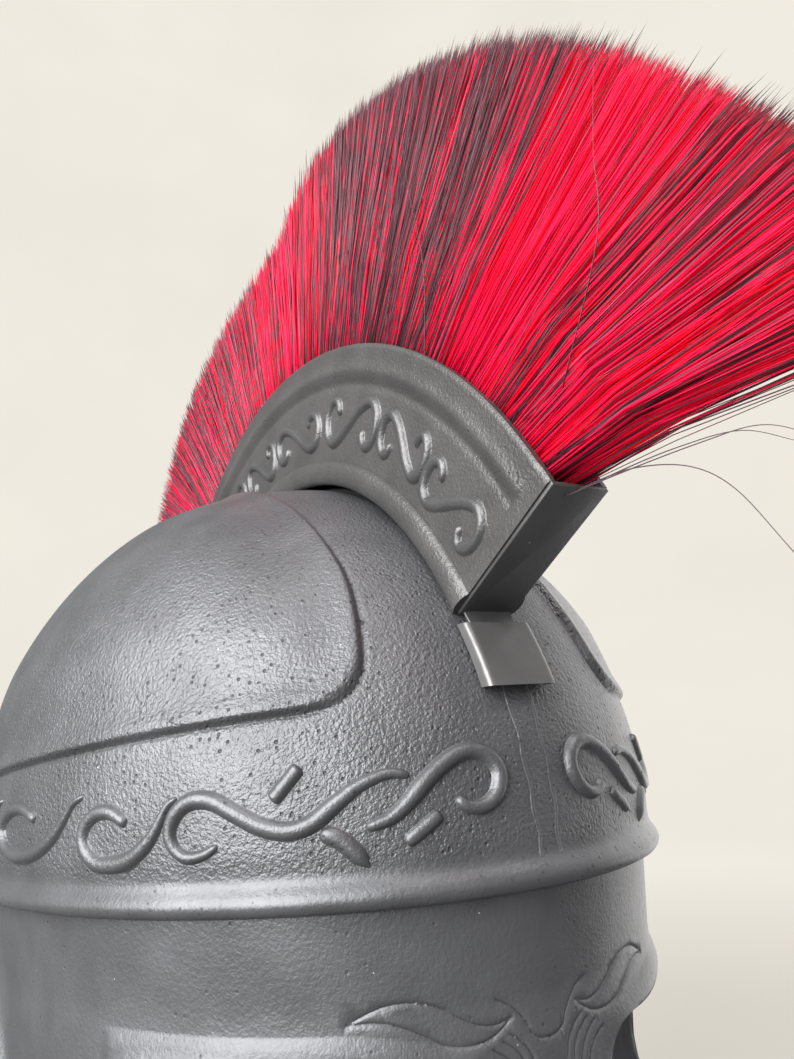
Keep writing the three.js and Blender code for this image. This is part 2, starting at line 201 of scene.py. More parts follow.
@dataclass(frozen=True)
class Rope:
    """A raised half-round line of the ornament, along a few points given on a surface."""

    points: tuple[Pair, ...]
    half_width: float = 2.0
    height: float = 1.7
    taper_start: float = 0.6
    taper_end: float = 0.6
    spacing: float = 0.8
    fade: float = 1.1          # length of the faded ends, in half widths
    sink: float = 0.12         # how far the foot lies under the surface

    # From the foot to the top, as (across, rise), in half widths and heights.
    HALF_SECTION = ((1.24, -0.06), (1.04, 0.08), (0.88, 0.36), (0.64, 0.74), (0.34, 0.95))
    END_STEPS = (0.0, 0.1, 0.25, 0.45, 0.7)    # places of the rings in a faded end
    END_WIDTH = 0.25                           # share of the width kept at the very end
    TAPER_SHARE = 0.25                         # share of the length over which each end tapers

    def add_to(self, work: MeshWork, place: Surface, outward: Vector) -> None:
        """Adds the rope to a piece as one closed body, its foot sunk a little in the surface.

        Args:
            work: the piece.
            place: turns the rope's own coordinates into points of the surface.
            outward: a point or direction that tells the surface's outer side.
        """
        own = spline(self.points, 8)
        lengths = run_lengths(place(own))
        total = lengths[-1]
        reach = self.half_width * self.fade
        ends = reach * np.array(self.END_STEPS)
        middle = np.linspace(reach, total - reach, max(3, round((total - 2 * reach) / self.spacing)))
        at = np.concatenate([ends, middle, total - ends[::-1]])
        own = np.stack([np.interp(at, lengths, own[:, k]) for k in range(2)], axis=1)
        line = place(own)
        step = 0.02
        ahead = place(own + [step, 0.0]) - place(own - [step, 0.0])
        above = place(own + [0.0, step]) - place(own - [0.0, step])
        normal = unit(np.cross(ahead, above))
        flip = np.sign(np.sum(normal * np.asarray(outward), axis=1, keepdims=True))
        normal *= np.where(flip == 0, 1.0, flip)
        side = np.cross(normal, unit(np.gradient(line, axis=0)))
        taper = np.interp(at / total, [0.0, self.TAPER_SHARE, 1.0 - self.TAPER_SHARE, 1.0],
                          [self.taper_start, 1.0, 1.0, self.taper_end])
        share = np.clip(np.minimum(at, total - at) / reach, 0.0, 1.0)
        swell = np.sqrt(1 - (1 - share) ** 2)
        width = self.half_width * taper * (self.END_WIDTH + (1 - self.END_WIDTH) * swell)
        height = self.height * taper**0.7 * swell
        section = [(-across, rise) for across, rise in self.HALF_SECTION] + [(0.0, 1.0)]
        section += list(reversed(self.HALF_SECTION))
        work.loft(np.array([line[i] + side[i] * across * width[i] + normal[i] * (rise * height[i] - self.sink)
                            for across, rise in section]) for i in range(len(at)))


def signed_volume(points: np.ndarray, faces: Iterable[Sequence[int]]) -> float:
    """Six times the volume inside a closed set of faces, negative if they are turned inwards."""
    fans = [(f[0], f[i], f[i + 1]) for f in faces for i in range(1, len(f) - 1)]
    a, b, c = (points[np.array(fans)[:, k]] for k in range(3))
    return float(np.einsum("ij,ij->i", a, np.cross(b, c)).sum())


def linked(name: str, data: bpy.types.ID) -> bpy.types.Object:
    """Makes an object of some data and puts it in the scene."""
    thing = bpy.data.objects.new(name, data)
    bpy.context.scene.collection.objects.link(thing)
    return thing


def smoothed(mesh: bpy.types.Mesh, sharp_degrees: float | None = None) -> None:
    """Shades a mesh smooth, but for edges sharper than some angle if one is given."""
    mesh.polygons.foreach_set("use_smooth", [True] * len(mesh.polygons))
    if sharp_degrees is not None:
        mesh.set_sharp_from_angle(angle=math.radians(sharp_degrees))


def mesh_object(name: str, points: np.ndarray, faces: list[tuple[int, ...]],
                sharp_degrees: float) -> bpy.types.Object:
    """Makes an object of points in metres and faces, smooth but for its sharp edges."""
    if signed_volume(points, faces) < 0:
        faces = [tuple(reversed(face)) for face in faces]
    mesh = bpy.data.meshes.new(name)
    mesh.from_pydata(points.tolist(), [], [tuple(int(i) for i in face) for face in faces])
    mesh.validate()
    smoothed(mesh, sharp_degrees)
    mesh.update()
    return linked(name, mesh)


def fit_out(piece: bpy.types.Object, node: str, slot: str, material: bpy.types.Material) -> None:
    """Gives a finished piece its material and its body, and hides the imported node it stands for."""
    piece.data.materials.clear()
    piece.data.materials.append(material)
    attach(piece, ROOT)
    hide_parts(node)
    LOG.info("%s: %d faces", piece.name, len(piece.data.polygons))


# ---- Shader work ----

Value = "Wire | float | tuple[float, ...]"


def both_ways(operation: str) -> tuple[Callable[["Wire", Value], "Wire"], ...]:
    """The operator of a Wire that stands for a Math node, and the same the other way round."""
    def onwards(wire: "Wire", other: Value) -> "Wire":
        """The wire's value first."""
        return wire.bench.sum(operation, wire, other)

    def backwards(wire: "Wire", other: Value) -> "Wire":
        """The other value first."""
        return wire.bench.sum(operation, other, wire)
    return onwards, backwards


class Wire:
    """An output socket that can be written in sums."""

    __add__, __radd__ = both_ways("ADD")
    __sub__, __rsub__ = both_ways("SUBTRACT")
    __mul__, __rmul__ = both_ways("MULTIPLY")
    __truediv__, __rtruediv__ = both_ways("DIVIDE")
    __pow__, __rpow__ = both_ways("POWER")
    __lt__ = both_ways("LESS_THAN")[0]
    __gt__ = both_ways("GREATER_THAN")[0]

    def __init__(self, bench: "Board", socket: bpy.types.NodeSocket) -> None:
        """Keeps the board that made the socket."""
        self.bench = bench
        self.socket = socket

    def span(self, low: float, high: float) -> "Wire":
        """Smooth step from 0 at low to 1 at high."""
        return self.bench.node("ShaderNodeMapRange", {"interpolation_type": "SMOOTHSTEP"},
                               {"Value": self, "From Min": low, "From Max": high})


class Board:
    """Adds nodes to one tree."""

    def __init__(self, tree: bpy.types.NodeTree) -> None:
        """Keeps the tree."""
        self.tree = tree

    def node(self, kind: str, settings: dict | None = None, sockets: dict | None = None,
             output: str | int = 0) -> Wire:
        """Adds a node.

        Args:
            kind: the node's type.
            settings: attributes set before its sockets are filled.
            sockets: a value or a wire for each input, by name, identifier or number.
            output: the output wanted, by name, identifier or number.

        Returns:
            The wanted output.
        """
        made = self.tree.nodes.new(kind)
        for key, value in (settings or {}).items():
            setattr(made, key, value)
        for key, value in (sockets or {}).items():
            socket = self.find(made.inputs, key)
            if isinstance(value, Wire):
                self.tree.links.new(value.socket, socket)
            else:
                socket.default_value = value
        return Wire(self, self.find(made.outputs, output))

    @staticmethod
    def find(sockets: bpy.types.bpy_prop_collection, key: str | int) -> bpy.types.NodeSocket:
        """A socket by number, identifier or name."""
        if isinstance(key, int):
            return sockets[key]
        for socket in sockets:
            if socket.identifier == key:
                return socket
        return sockets[key]

    def sum(self, operation: str, a: Value, b: Value) -> Wire:
        """A Math node on two values."""
        return self.node("ShaderNodeMath", {"operation": operation}, {0: a, 1: b})

    def wave(self, operation: str, a: Value) -> Wire:
        """A Math node on one value, such as SINE."""
        return self.node("ShaderNodeMath", {"operation": operation}, {0: a})

    def vector(self, x: Value, y: Value, z: Value) -> Wire:
        """A vector of three parts."""
        return self.node("ShaderNodeCombineXYZ", sockets={0: x, 1: y, 2: z})

    def apart(self, vector: Wire) -> tuple[Wire, Wire, Wire]:
        """The three parts of a vector."""
        outputs = self.node("ShaderNodeSeparateXYZ", sockets={0: vector}).socket.node.outputs
        return tuple(Wire(self, output) for output in outputs)

    def merge(self, operation: str, a: Value, b: Value) -> Wire:
        """A Vector Math node on two vectors."""
        return self.node("ShaderNodeVectorMath", {"operation": operation}, {0: a, 1: b})

    def scaled(self, vector: Value, factor: Value) -> Wire:
        """A vector times a number."""
        return self.node("ShaderNodeVectorMath", {"operation": "SCALE"}, {0: vector, "Scale": factor})


class Bench(Board):
    """Builds one material's nodes."""

    def __init__(self, name: str) -> None:
        """Starts an empty material."""
        self.material = bpy.data.materials.new(name)
        self.material.use_nodes = True
        super().__init__(self.material.node_tree)
        self.tree.nodes.clear()

    def place(self) -> Wire:
        """The piece's own coordinates, in metres."""
        return self.node("ShaderNodeTexCoord", output="Object")

    def noise(self, per_metre: float, detail: float) -> Wire:
        """Noise around 0.5, with so many grains to a metre."""
        return self.node("ShaderNodeTexNoise", sockets={
            "Vector": self.place(), "Scale": per_metre, "Detail": detail, "Roughness": 0.55})

    def cells(self, per_metre: float, output: str = "Distance") -> Wire:
        """Distance to the middle of the nearest cell, or the cell's colour."""
        return self.node("ShaderNodeTexVoronoi", sockets={"Vector": self.place(), "Scale": per_metre},
                         output=output)

    def luck(self, per_metre: float, part: int) -> Wire:
        """A random number for each cell: one part of its colour."""
        return self.node("ShaderNodeSeparateColor", sockets={0: self.cells(per_metre, "Color")}, output=part)

    def attribute(self, name: str) -> Wire:
        """A number stored on the mesh."""
        return self.node("ShaderNodeAttribute", {"attribute_name": name}, output="Fac")

    def blend(self, share: Value, a: Value, b: Value) -> Wire:
        """A colour mixed from two."""
        return self.node("ShaderNodeMix", {"data_type": "RGBA"},
                         {"Factor_Float": share, "A_Color": a, "B_Color": b}, "Result_Color")

    def bump(self, height: Wire, depth: float, normal: Wire | None = None) -> Wire:
        """A normal from a height whose whole range is depth metres."""
        sockets: dict = {"Height": height, "Distance": depth, "Strength": 1.0}
        if normal:
            sockets["Normal"] = normal
        return self.node("ShaderNodeBump", sockets=sockets)

    def finish(self, sockets: dict) -> bpy.types.Material:
        """Adds the Principled shader and the output, and returns the material."""
        shader = self.node("ShaderNodeBsdfPrincipled", sockets=sockets)
        out = self.tree.nodes.new("ShaderNodeOutputMaterial")
        self.tree.links.new(shader.socket, out.inputs["Surface"])
        return self.material


def shade(colour: Triple, factor: float = 1.0) -> tuple[float, ...]:
    """A colour made lighter or darker, with alpha 1."""
    return tuple(min(1.0, c * factor) for c in colour) + (1.0,)


@dataclass(frozen=True)
class SatinPaint:
    """Satin dark paint over steel, more or less pebbly, with pits and a few specks of dust."""

    name: str
    colour: Triple = (0.120, 0.121, 0.126)
    roughness: float = 0.42
    pebble_height: float = 0.18
    pebbles_per_metre: float = 1000.0
    pit_share: float = 0.26
    dust_share: float = 0.012
    metallic: float = 0.55
    pits_per_metre: float = 640.0
    calm_below: float = 0.0        # height in metres under which the pebbles are fainter
    dust_per_metre: float = 210.0
    waves_per_metre: float = 55.0
    wave_height: float = 0.25

    def material(self) -> bpy.types.Material:
        """The paint as a material."""
        bench = Bench(self.name)
        coarse = bench.noise(self.pebbles_per_metre, 1.5)
        fine = bench.noise(self.pebbles_per_metre * 2.3, 1.0)
        waves = bench.noise(self.waves_per_metre, 2.0)
        pit_cells = bench.cells(self.pits_per_metre)
        pit_choice = bench.luck(self.pits_per_metre, 0)
        pits = (1.0 - pit_cells.span(0.12, 0.34)) * (pit_choice < self.pit_share)
        dust_cells = bench.cells(self.dust_per_metre)
        dust_choice = bench.luck(self.dust_per_metre, 1)
        dust = (dust_cells < 0.035) * (dust_choice < self.dust_share * 8.0)
        calm = bench.apart(bench.place())[2].span(self.calm_below, self.calm_below + 5.0 * MM)
        height = (coarse * 2.0 + fine * 0.8) * (calm * 0.75 + 0.25) - pits * calm * 1.2
        tone = bench.blend(waves.span(0.3, 0.7), shade(self.colour, 0.88), shade(self.colour, 1.12))
        tone = bench.blend(pits * 0.6, tone, shade(self.colour, 0.35))
        tone = bench.blend(dust, tone, (0.62, 0.60, 0.56, 1.0))
        normal = bench.bump(height, self.pebble_height * MM)
        normal = bench.bump(waves, self.wave_height * MM, normal)
        gloss = self.roughness + (coarse - 0.5) * 0.12 + pits * 0.2
        return bench.finish({"Base Color": tone, "Roughness": gloss, "Metallic": self.metallic,
                             "Normal": normal, "IOR": 1.5})


@dataclass(frozen=True)
class DyedBristle:
    """Dyed bristle: its colour changes a little from strand to strand and darkens at the tip, with painted
    shade near the root and a painted glow.
    """

    name: str
    colour: Triple
    tip_colour: Triple
    spread: float = 0.35
    roughness: float = 0.42
    shine: float = 0.25
    glow: float = 0.22         # painted glow: emission of the bristle's own colour that stands in for light scattered inside the clear bristle, as a share of its colour

    def plain(self) -> bpy.types.Material:
        """The bristle as a material of one colour."""
        return Bench(self.name).finish({"Base Color": shade(self.colour), "Roughness": self.roughness})

    def material(self) -> bpy.types.Material:
        """The bristle as a material."""
        bench = Bench(self.name)
        strand, along = bench.attribute("strand"), bench.attribute("along")
        tone = bench.blend(strand, shade(self.colour, 1.0 - self.spread),
                           shade(self.colour, 1.0 + self.spread))
        tone = bench.blend(along.span(0.95, 1.0) * 0.5, tone, shade(self.tip_colour))
        # Painted shade: the bristles darken towards the root, deep in the box where they crowd together.
        root = (1.0 - along.span(0.08, 0.34)) * 0.45
        tone = bench.blend(root, tone, shade(self.colour, 0.30))
        # The emission is painted light: the bristle gives off its own colour as a glow.
        return bench.finish({"Base Color": tone, "Roughness": self.roughness, "IOR": 1.5,
                             "Specular IOR Level": self.shine, "Emission Color": tone,
                             "Emission Strength": self.glow})


# ---- The helmet's form ----


@dataclass(frozen=True)
class HelmetForm:
    """The smooth forms that the pieces share: the plan, the crown and the wall."""

    sheet: float = 1.2
    bead_z: float = 135.0
    widest_y: float = 25.0
    wall_half_width: float = 97.5
    wall_half_length: float = 116.8
    dome_half_width: float = 102.0
    dome_half_length: float = 118.6
    dome_z: float = 147.0
    crown_rise: float = 111.0
    long_power: float = 1.7
    crown_softness: float = 0.15
    cross_power: float = 2.18
    crest_z: float = 140.9

    def plan(self, turn: np.ndarray, half_width: np.ndarray, half_length: np.ndarray) -> np.ndarray:
        """Points of the egg-shaped plan, as (x, y); turn is 0 in front, positive to the right."""
        reach = np.where(np.cos(turn) > 0, half_length + self.widest_y, half_length - self.widest_y)
        return np.stack([-half_width * np.sin(turn), self.widest_y - reach * np.cos(turn)], axis=-1)

    def soft_span(self) -> Pair:
        """What the softened profile has at its top, and how much it gains down to its foot."""
        soft = self.crown_softness**self.long_power
        return soft, (1 + self.crown_softness**2) ** (self.long_power / 2) - soft

    def profile(self, y: np.ndarray) -> np.ndarray:
        """Rise of the crown's middle line at a place along Y, as a share of the whole rise."""
        soft, span = self.soft_span()
        station = ((y / self.dome_half_length) ** 2 + self.crown_softness**2) ** (self.long_power / 2)
        return np.sqrt(np.maximum(1e-9, 1 - (station - soft) / span))

    def crown(self, turn: np.ndarray, level: np.ndarray) -> np.ndarray:
        """Points of the crown; level is 0 at the springing line and 1 at the apex."""
        soft, span = self.soft_span()
        rise = np.sin(level * math.pi / 2)
        along = soft + span * (1 - rise * rise)
        inside = np.maximum(0.0, along ** (2 / self.long_power) - self.crown_softness**2)
        y = -self.dome_half_length * np.sqrt(inside) * np.cos(turn)
        ahead = self.dome_half_length + self.widest_y
        behind = self.dome_half_length - self.widest_y
        rear = np.where(y > self.widest_y, behind, ahead)
        base = self.dome_half_width * np.sqrt(np.maximum(0.0, 1 - ((y - self.widest_y) / rear) ** 2))
        share = np.minimum(1.0, rise / self.profile(y))
        side = np.maximum(0.0, 1 - share**self.cross_power) ** (1 / self.cross_power)
        x = -np.sign(np.sin(turn)) * base * side
        return np.stack([x, y, self.dome_z + self.crown_rise * rise + 0 * y], axis=-1)

    def crown_normal(self, turn: np.ndarray, level: np.ndarray) -> np.ndarray:
        """Outward unit normals of the crown."""
        step = 1e-3
        rise = self.crown(turn, np.minimum(1.0, level + step)) - self.crown(turn, np.maximum(0, level - step))
        round_ = self.crown(turn + step, level) - self.crown(turn - step, level)
        normal = unit(np.cross(rise, round_))
        point = self.crown(turn, level)
        outward = np.sum(normal[..., :2] * point[..., :2], axis=-1, keepdims=True)
        return np.where(outward < 0, -normal, normal)

    def crown_at(self, turn: np.ndarray, z: np.ndarray) -> np.ndarray:
        """Points of the crown at a height above the ground."""
        return self.crown(turn, self.level_of(z, -0.1))

    def level_of(self, z: np.ndarray, least: float = 0.0) -> np.ndarray:
        """The crown's level at a height above the ground, its sine at least so much."""
        return np.arcsin(np.clip((z - self.dome_z) / self.crown_rise, least, 1.0)) / (math.pi / 2)

    def ridge_height(self, y: np.ndarray) -> np.ndarray:
        """Height of the crown's middle line at a place along Y."""
        return self.dome_z + self.crown_rise * self.profile(y)

    def crown_front(self, z: float, out: float) -> float:
        """How far along Y the crown's middle line lies at a height, in front, and out from it."""
        level = self.level_of(np.array(z))
        point = self.crown(np.array(0.0), level) + self.crown_normal(np.array(1e-3), level) * out
        return float(point[1])


FORM = HelmetForm()
HALF_ROUND = np.linspace(0.0, math.pi, 1201)    # close turns from the front round to the back
MIRROR = np.array([-1.0, 1.0, 1.0])


# ---- Skull cap ----


@dataclass
class SkullCap:
    """The crown: a steel shell with a rolled bead, raised side panels and raised scrolls."""

    finish: SatinPaint = SatinPaint("dome_paint", calm_below=0.141)
    scroll_finish: SatinPaint = SatinPaint("scroll_paint", pebble_height=0.07, pit_share=0.06)
    # Section of the bead: height above its lower edge, out from the wall at the sides and at the ends.
    bead_outline: tuple[Triple, ...] = (
        (0.0, 0.9, 0.8), (0.12, 2.6, 2.0), (0.6, 4.2, 3.3), (1.6, 5.1, 4.1), (2.8, 5.4, 4.4), (4.0, 5.1, 4.0),
        (5.1, 4.5, 3.3), (6.1, 4.05, 2.5), (7.2, 3.85, 2.0), (8.6, 3.95, 1.8), (10.2, 4.2, 1.8),
        (12.0, 4.5, 1.8))
    bead_rows: tuple[float, ...] = (0.0, 0.12, 0.35, 0.7, 1.1, 1.6, 2.2, 2.8, 3.4, 4.0, 4.6, 5.2, 5.8, 6.5,
                                    7.2, 8.0, 9.0, 10.2, 11.2)
    band_rows: int = 11
    dome_rows: int = 72
    dome_end: float = 0.985            # the last ring's share of the way to the apex
    inner_count: int = 120
    inner_rows: int = 30
    inner_gap: float = 0.1             # the inside lies that much deeper than the sheet
    # Last rings of the inside: height above the bead's edge, out at the sides and at the ends.
    inner_rim: tuple[Triple, ...] = ((7.0, 1.6, 0.5), (0.0, 0.3, 0.3))
    panel_rise: float = 1.6
    panel_shoulder: float = 1.3        # width of the panel's rounded shoulder
    shoulder_power: float = 2.2
    panel_lip: float = 0.85            # the panel sinks that much behind its raised edge
    lip_span: Pair = (1.5, 7.0)        # between these distances from its outline
    panel_swell: float = 1.1           # and rises again that much towards its middle
    swell_span: Pair = (7.0, 30.0)
    panel_inner_x: float = 30.0
    panel_flare: float = 6.0           # its inner edge leans outward towards its lower corner
    panel_flare_height: float = 45.0
    panel_low: float = 33.2            # lower edge above the bead's, in the middle of the side
    panel_slope: float = 0.076
    panel_corner: float = 11.0
    groove_depth: float = 0.45         # the groove round a panel
    groove_place: float = -0.55        # its middle lies that far outside the panel's outline
    groove_width: float = 0.5
    # Distances from a panel's edge at which points are set, in millimetres.
    edge_steps: tuple[float, ...] = (-4.2, -3.0, -2.1, -1.5, -1.1, -0.8, -0.5, -0.2, 0.1, 0.4, 0.8, 1.2, 1.8,
                                     2.6, 3.6, 4.8)
    front_columns: int = 14
    side_columns: int = 104

    # Scrolls of the band, as (degrees from the front, height above the bead's lower edge).
    near_scroll: Rope = Rope((
        (24.6, 16.0), (21.6, 17.5), (19.2, 20.2), (16.6, 24.0), (13.6, 27.4), (10.6, 29.4), (8.0, 29.0),
        (6.3, 26.4), (6.1, 23.2), (7.2, 20.0), (9.3, 18.0), (11.6, 18.4), (12.8, 20.4)), 1.9, 1.7, 0.6, 0.7)
    long_wave: Rope = Rope((
        (42.6, 14.6), (44.4, 13.0), (46.6, 12.6), (48.3, 14.6), (48.9, 18.0), (48.0, 21.6), (46.0, 23.9),
        (43.2, 23.7), (40.2, 20.8), (37.0, 17.8), (33.8, 16.6), (31.0, 17.8), (28.0, 21.2), (24.8, 24.5),
        (21.2, 26.3), (18.4, 25.6)), 1.9, 1.7, 0.5, 0.5)
    leaves: tuple[Rope, ...] = (
        Rope(((35.6, 22.8), (31.9, 29.2)), 1.7, 1.5, 1.0, 1.0, 0.8, 0.5),
        Rope(((30.2, 15.6), (28.2, 14.6), (26.4, 12.0), (24.6, 8.4)), 1.9, 1.4, 1.0, 0.35, 0.8, 1.6),
        Rope(((20.0, 12.4), (17.6, 14.9), (15.2, 17.5)), 1.6, 1.2, 0.8, 0.9, 0.8, 0.7))
    # A curl with its stem, from its own start, and where each one starts: turn, height, stretch.
    curl: tuple[Pair, ...] = (
        (0.0, 13.4), (1.4, 11.8), (2.5, 8.6), (3.7, 5.4), (5.3, 2.8), (7.3, 0.8), (9.6, 0.0), (12.0, 0.2),
        (13.9, 2.3), (14.8, 5.6), (14.2, 8.9), (12.5, 11.0), (10.3, 11.2), (8.4, 9.6), (7.5, 8.3))
    curl_starts: tuple[Triple, ...] = (
        (47.8, 11.5, 1.0), (62.8, 13.2, 1.38), (84.6, 13.2, 1.32), (105.4, 13.2, 1.28),
        (125.6, 13.2, 1.2), (144.8, 13.2, 1.12))
    rear_leaf: Rope = Rope(((167.5, 14.5), (170.5, 20.0), (174.0, 26.5)), 2.0, 1.5, 0.7, 0.7)

    # The edges of the weld between the two halves, in front and behind.
    seam: tuple[Rope, ...] = (
        Rope(((1.8, 6.4), (1.5, 11.0), (1.9, 16.0), (1.55, 21.0), (1.85, 26.5), (1.5, 32.0), (1.8, 38.0),
              (1.6, 44.0)), 0.5, 0.2, 0.9, 0.9, 0.8, 1.0, 0.03),
        Rope(((178.3, 6.4), (178.5, 14.0), (178.2, 22.0), (178.5, 30.0), (178.3, 38.0), (178.4, 44.0)),
             0.5, 0.24, 0.9, 0.9, 0.8, 1.0, 0.03))

    # The weld over the top, as (along Y, along X).
    weld: Rope = Rope(((-96.0, 0.0), (-64.0, 0.2), (-32.0, -0.2), (0.0, 0.1), (32.0, -0.1), (64.0, 0.2),
                       (96.0, 0.0)), 2.6, 1.25, 1.0, 1.0, 3.0)

    def over_top(self, own: np.ndarray) -> np.ndarray:
        """Points near the crown's middle line, given along Y and along X."""
        return np.stack([own[:, 1], own[:, 0], FORM.ridge_height(own[:, 0])], axis=1)

    def skin(self, turn: np.ndarray, height: np.ndarray) -> np.ndarray:
        """Points of the plain outside at a turn in radians and a height above the bead's edge."""
        outline = np.array(self.bead_outline)
        side = np.interp(height, outline[:, 0], outline[:, 1])
        end = np.interp(height, outline[:, 0], outline[:, 2])
        springing = -FORM.dome_half_length * np.cos(turn)
        reach = FORM.dome_half_length - FORM.widest_y * np.sign(springing - FORM.widest_y)
        around = np.arccos(np.clip((FORM.widest_y - springing) / reach, -1.0, 1.0)) * np.sign(turn)
        low = FORM.plan(around, FORM.wall_half_width + side, FORM.wall_half_length + end)
        low = np.concatenate([low, np.broadcast_to(FORM.bead_z + height, low.shape[:-1])[..., None]], -1)
        high = FORM.crown_at(turn, FORM.bead_z + height)
        return np.where((FORM.bead_z + height >= FORM.dome_z)[..., None], high, low)

    def ropes(self) -> list[Rope]:
        """All raised lines of the band on the wearer's right."""
        curls = []
        for start, height, stretch in self.curl_starts:
            points = tuple((start + turn * stretch, height + rise) for turn, rise in self.curl)
            curls.append(Rope(points, 1.85, 1.6, 0.4, 0.75))
        return [self.near_scroll, self.long_wave, *self.leaves, *curls, *self.seam, self.rear_leaf]

    def scrolls(self) -> None:
        """Makes the raised scrolls of both sides as one piece."""
        work = MeshWork()
        for side in (1.0, -1.0):
            def place(own: np.ndarray, side: float = side) -> np.ndarray:
                """A rope's (degrees, height) as points of the band."""
                return self.skin(np.radians(own[:, 0]) * side, own[:, 1])
            for rope in self.ropes():
                middle = place(np.array(rope.points)).mean(axis=0)
                rope.add_to(work, place, Vector((middle[0], middle[1] - FORM.widest_y, 0.0)))
        self.weld.add_to(work, self.over_top, Vector((0.0, 0.0, 1.0)))
        work.finish("band_scrolls", 60.0, "skull_cap", "dome_paint", self.scroll_finish.material())

    def panel_edge(self, z: np.ndarray) -> np.ndarray:
        """How far from the middle a panel's inner edge lies at a height."""
        low = FORM.bead_z + self.panel_low
        return self.panel_inner_x + self.panel_flare * (1 - smooth(z, low, low + self.panel_flare_height))

    def panel_foot(self, y: np.ndarray) -> np.ndarray:
        """Height of a panel's lower edge."""
        return FORM.bead_z + self.panel_low + self.panel_slope * np.abs(y)

    def panel_depth(self, points: np.ndarray) -> np.ndarray:
        """How far inside the outline of a side panel each point lies, negative outside it."""
        inner = np.abs(points[:, 0]) - self.panel_edge(points[:, 2])
        lower = points[:, 2] - self.panel_foot(points[:, 1])
        corner = self.panel_corner - np.hypot(self.panel_corner - inner, self.panel_corner - lower)
        plain = (inner > self.panel_corner) | (lower > self.panel_corner)
        return np.where(plain, np.minimum(inner, lower), corner)

    def panel(self, points: np.ndarray) -> np.ndarray:
        """Height of the raised side panels: a steep foot in a groove and a rounded shoulder."""
        depth = self.panel_depth(points)
        groove = self.groove_depth * np.exp(-(((depth - self.groove_place) / self.groove_width) ** 2))
        share = np.clip(depth / self.panel_shoulder, 0.0, 1.0)
        lip = self.panel_lip * smooth(depth, *self.lip_span)
        swell = self.panel_swell * smooth(depth, *self.swell_span)
        return self.panel_rise * (1 - (1 - share) ** self.shoulder_power) - lip + swell - groove

    def columns(self, points: np.ndarray) -> np.ndarray:
        """Turns of one row's points on the wearer's right, gathered at the panel's inner edge.

        Args:
            points: closely spaced points of the row from the front round to the back.

        Returns:
            The turns in radians, from 0 to pi.
        """
        lengths = run_lengths(points)
        beyond = np.flatnonzero(np.abs(points[:, 0]) > self.panel_edge(points[:, 2]))
        room = self.edge_steps[-1] - self.edge_steps[0]
        if len(beyond) > 1 and lengths[beyond[-1]] - lengths[beyond[0]] > 2.2 * room:
            first, last = lengths[beyond[0]], lengths[beyond[-1]]
        else:
            widest = lengths[int(np.argmax(np.abs(points[:, 0])))]
            first, last = widest - 1.1 * room, widest + 1.1 * room
        first = max(first, 1.3 * room)
        last = min(last, lengths[-1] - 1.3 * room)
        steps = np.array(self.edge_steps)
        at = np.concatenate([
            np.linspace(0.0, first + steps[0], self.front_columns, endpoint=False), first + steps,
            np.linspace(first + steps[-1], last - steps[-1], self.side_columns)[1:-1],
            last - steps[::-1], np.linspace(last - steps[0], lengths[-1], self.front_columns + 1)[1:]])
        return np.interp(at, lengths, HALF_ROUND)

    def row(self, surface: Surface, plain: Surface | None = None) -> np.ndarray:
        """A closed row of points, both sides alike.

        Args:
            surface: gives the points of the row at some turns.
            plain: gives the points by which the turns are chosen, if they are others.

        Returns:
            The points of the whole ring.
        """
        right = surface(self.columns((plain or surface)(HALF_ROUND)))
        return np.vstack([right, right[1:-1][::-1] * MIRROR])

    def line_level(self, turn: np.ndarray) -> np.ndarray:
        """The crown's level along the line of the panels' lower edges."""
        level = np.full_like(turn, 0.15)
        for _ in range(5):
            level = FORM.level_of(self.panel_foot(FORM.crown(turn, level)[..., 1]))
        return level

    def outside(self) -> list[np.ndarray]:
        """Rings of the outside, from the bead's lower edge up to the apex."""
        per_mm = 2 / math.pi / FORM.crown_rise
        first, last = (step * per_mm for step in (self.edge_steps[0], self.edge_steps[-1]))

        def springing(turn: np.ndarray) -> np.ndarray:
            """Points of the crown's lowest line."""
            return FORM.crown(turn, np.array(0.0))

        rows = [self.row(lambda t, h=height: self.skin(t, np.full(len(t), h)), springing)
                for height in self.bead_rows]
        rows += [self.row(lambda t, s=share: FORM.crown(t, s * (self.line_level(t) + first)))
                 for share in np.linspace(0.0, 1.0, self.band_rows, endpoint=False)]
        rows += [self.embossed(lambda t, d=step * per_mm: self.line_level(t) + d) for step in self.edge_steps]
        rows += [self.embossed(lambda t, s=share: (self.line_level(t) + last) * (1 - s) + s)
                 for share in np.linspace(0.0, self.dome_end, self.dome_rows)[1:]]
        return rows + [np.array([[0.0, 0.0, FORM.dome_z + FORM.crown_rise]])]

    def inside(self) -> list[np.ndarray]:
        """Rings of the inside, from the apex down to the rim."""
        rows = [np.array([[0.0, 0.0, FORM.dome_z + FORM.crown_rise - FORM.sheet]])]
        turn = np.arange(self.inner_count) * 2 * math.pi / self.inner_count
        for level in np.linspace(0.97, 0.0, self.inner_rows):
            points = FORM.crown(turn, np.array(level))
            normal = FORM.crown_normal(turn, np.array(level))
            rise = (self.panel_rise * smooth(self.panel_depth(points), 0.0, 4.5)
                    - FORM.sheet - self.inner_gap)
            rows.append(points + normal * rise[:, None])
        for height, side, end in self.inner_rim:
            xy = FORM.plan(turn, FORM.wall_half_width + side, FORM.wall_half_length + end)
            rows.append(np.hstack([xy, np.full((self.inner_count, 1), FORM.bead_z + height)]))
        return rows

    def build(self) -> None:
        """Makes the cap and its scrolls."""
        work = MeshWork()
        outer = [work.add(row) for row in self.outside()]
        work.join(outer)
        inner = [work.add(row) for row in self.inside()]
        work.join(inner)
        self.join_rims(work, inner[-1], outer[0])
        work.finish("helmet_skull_cap", 40.0, "skull_cap", "dome_paint", self.finish.material())
        self.scrolls()

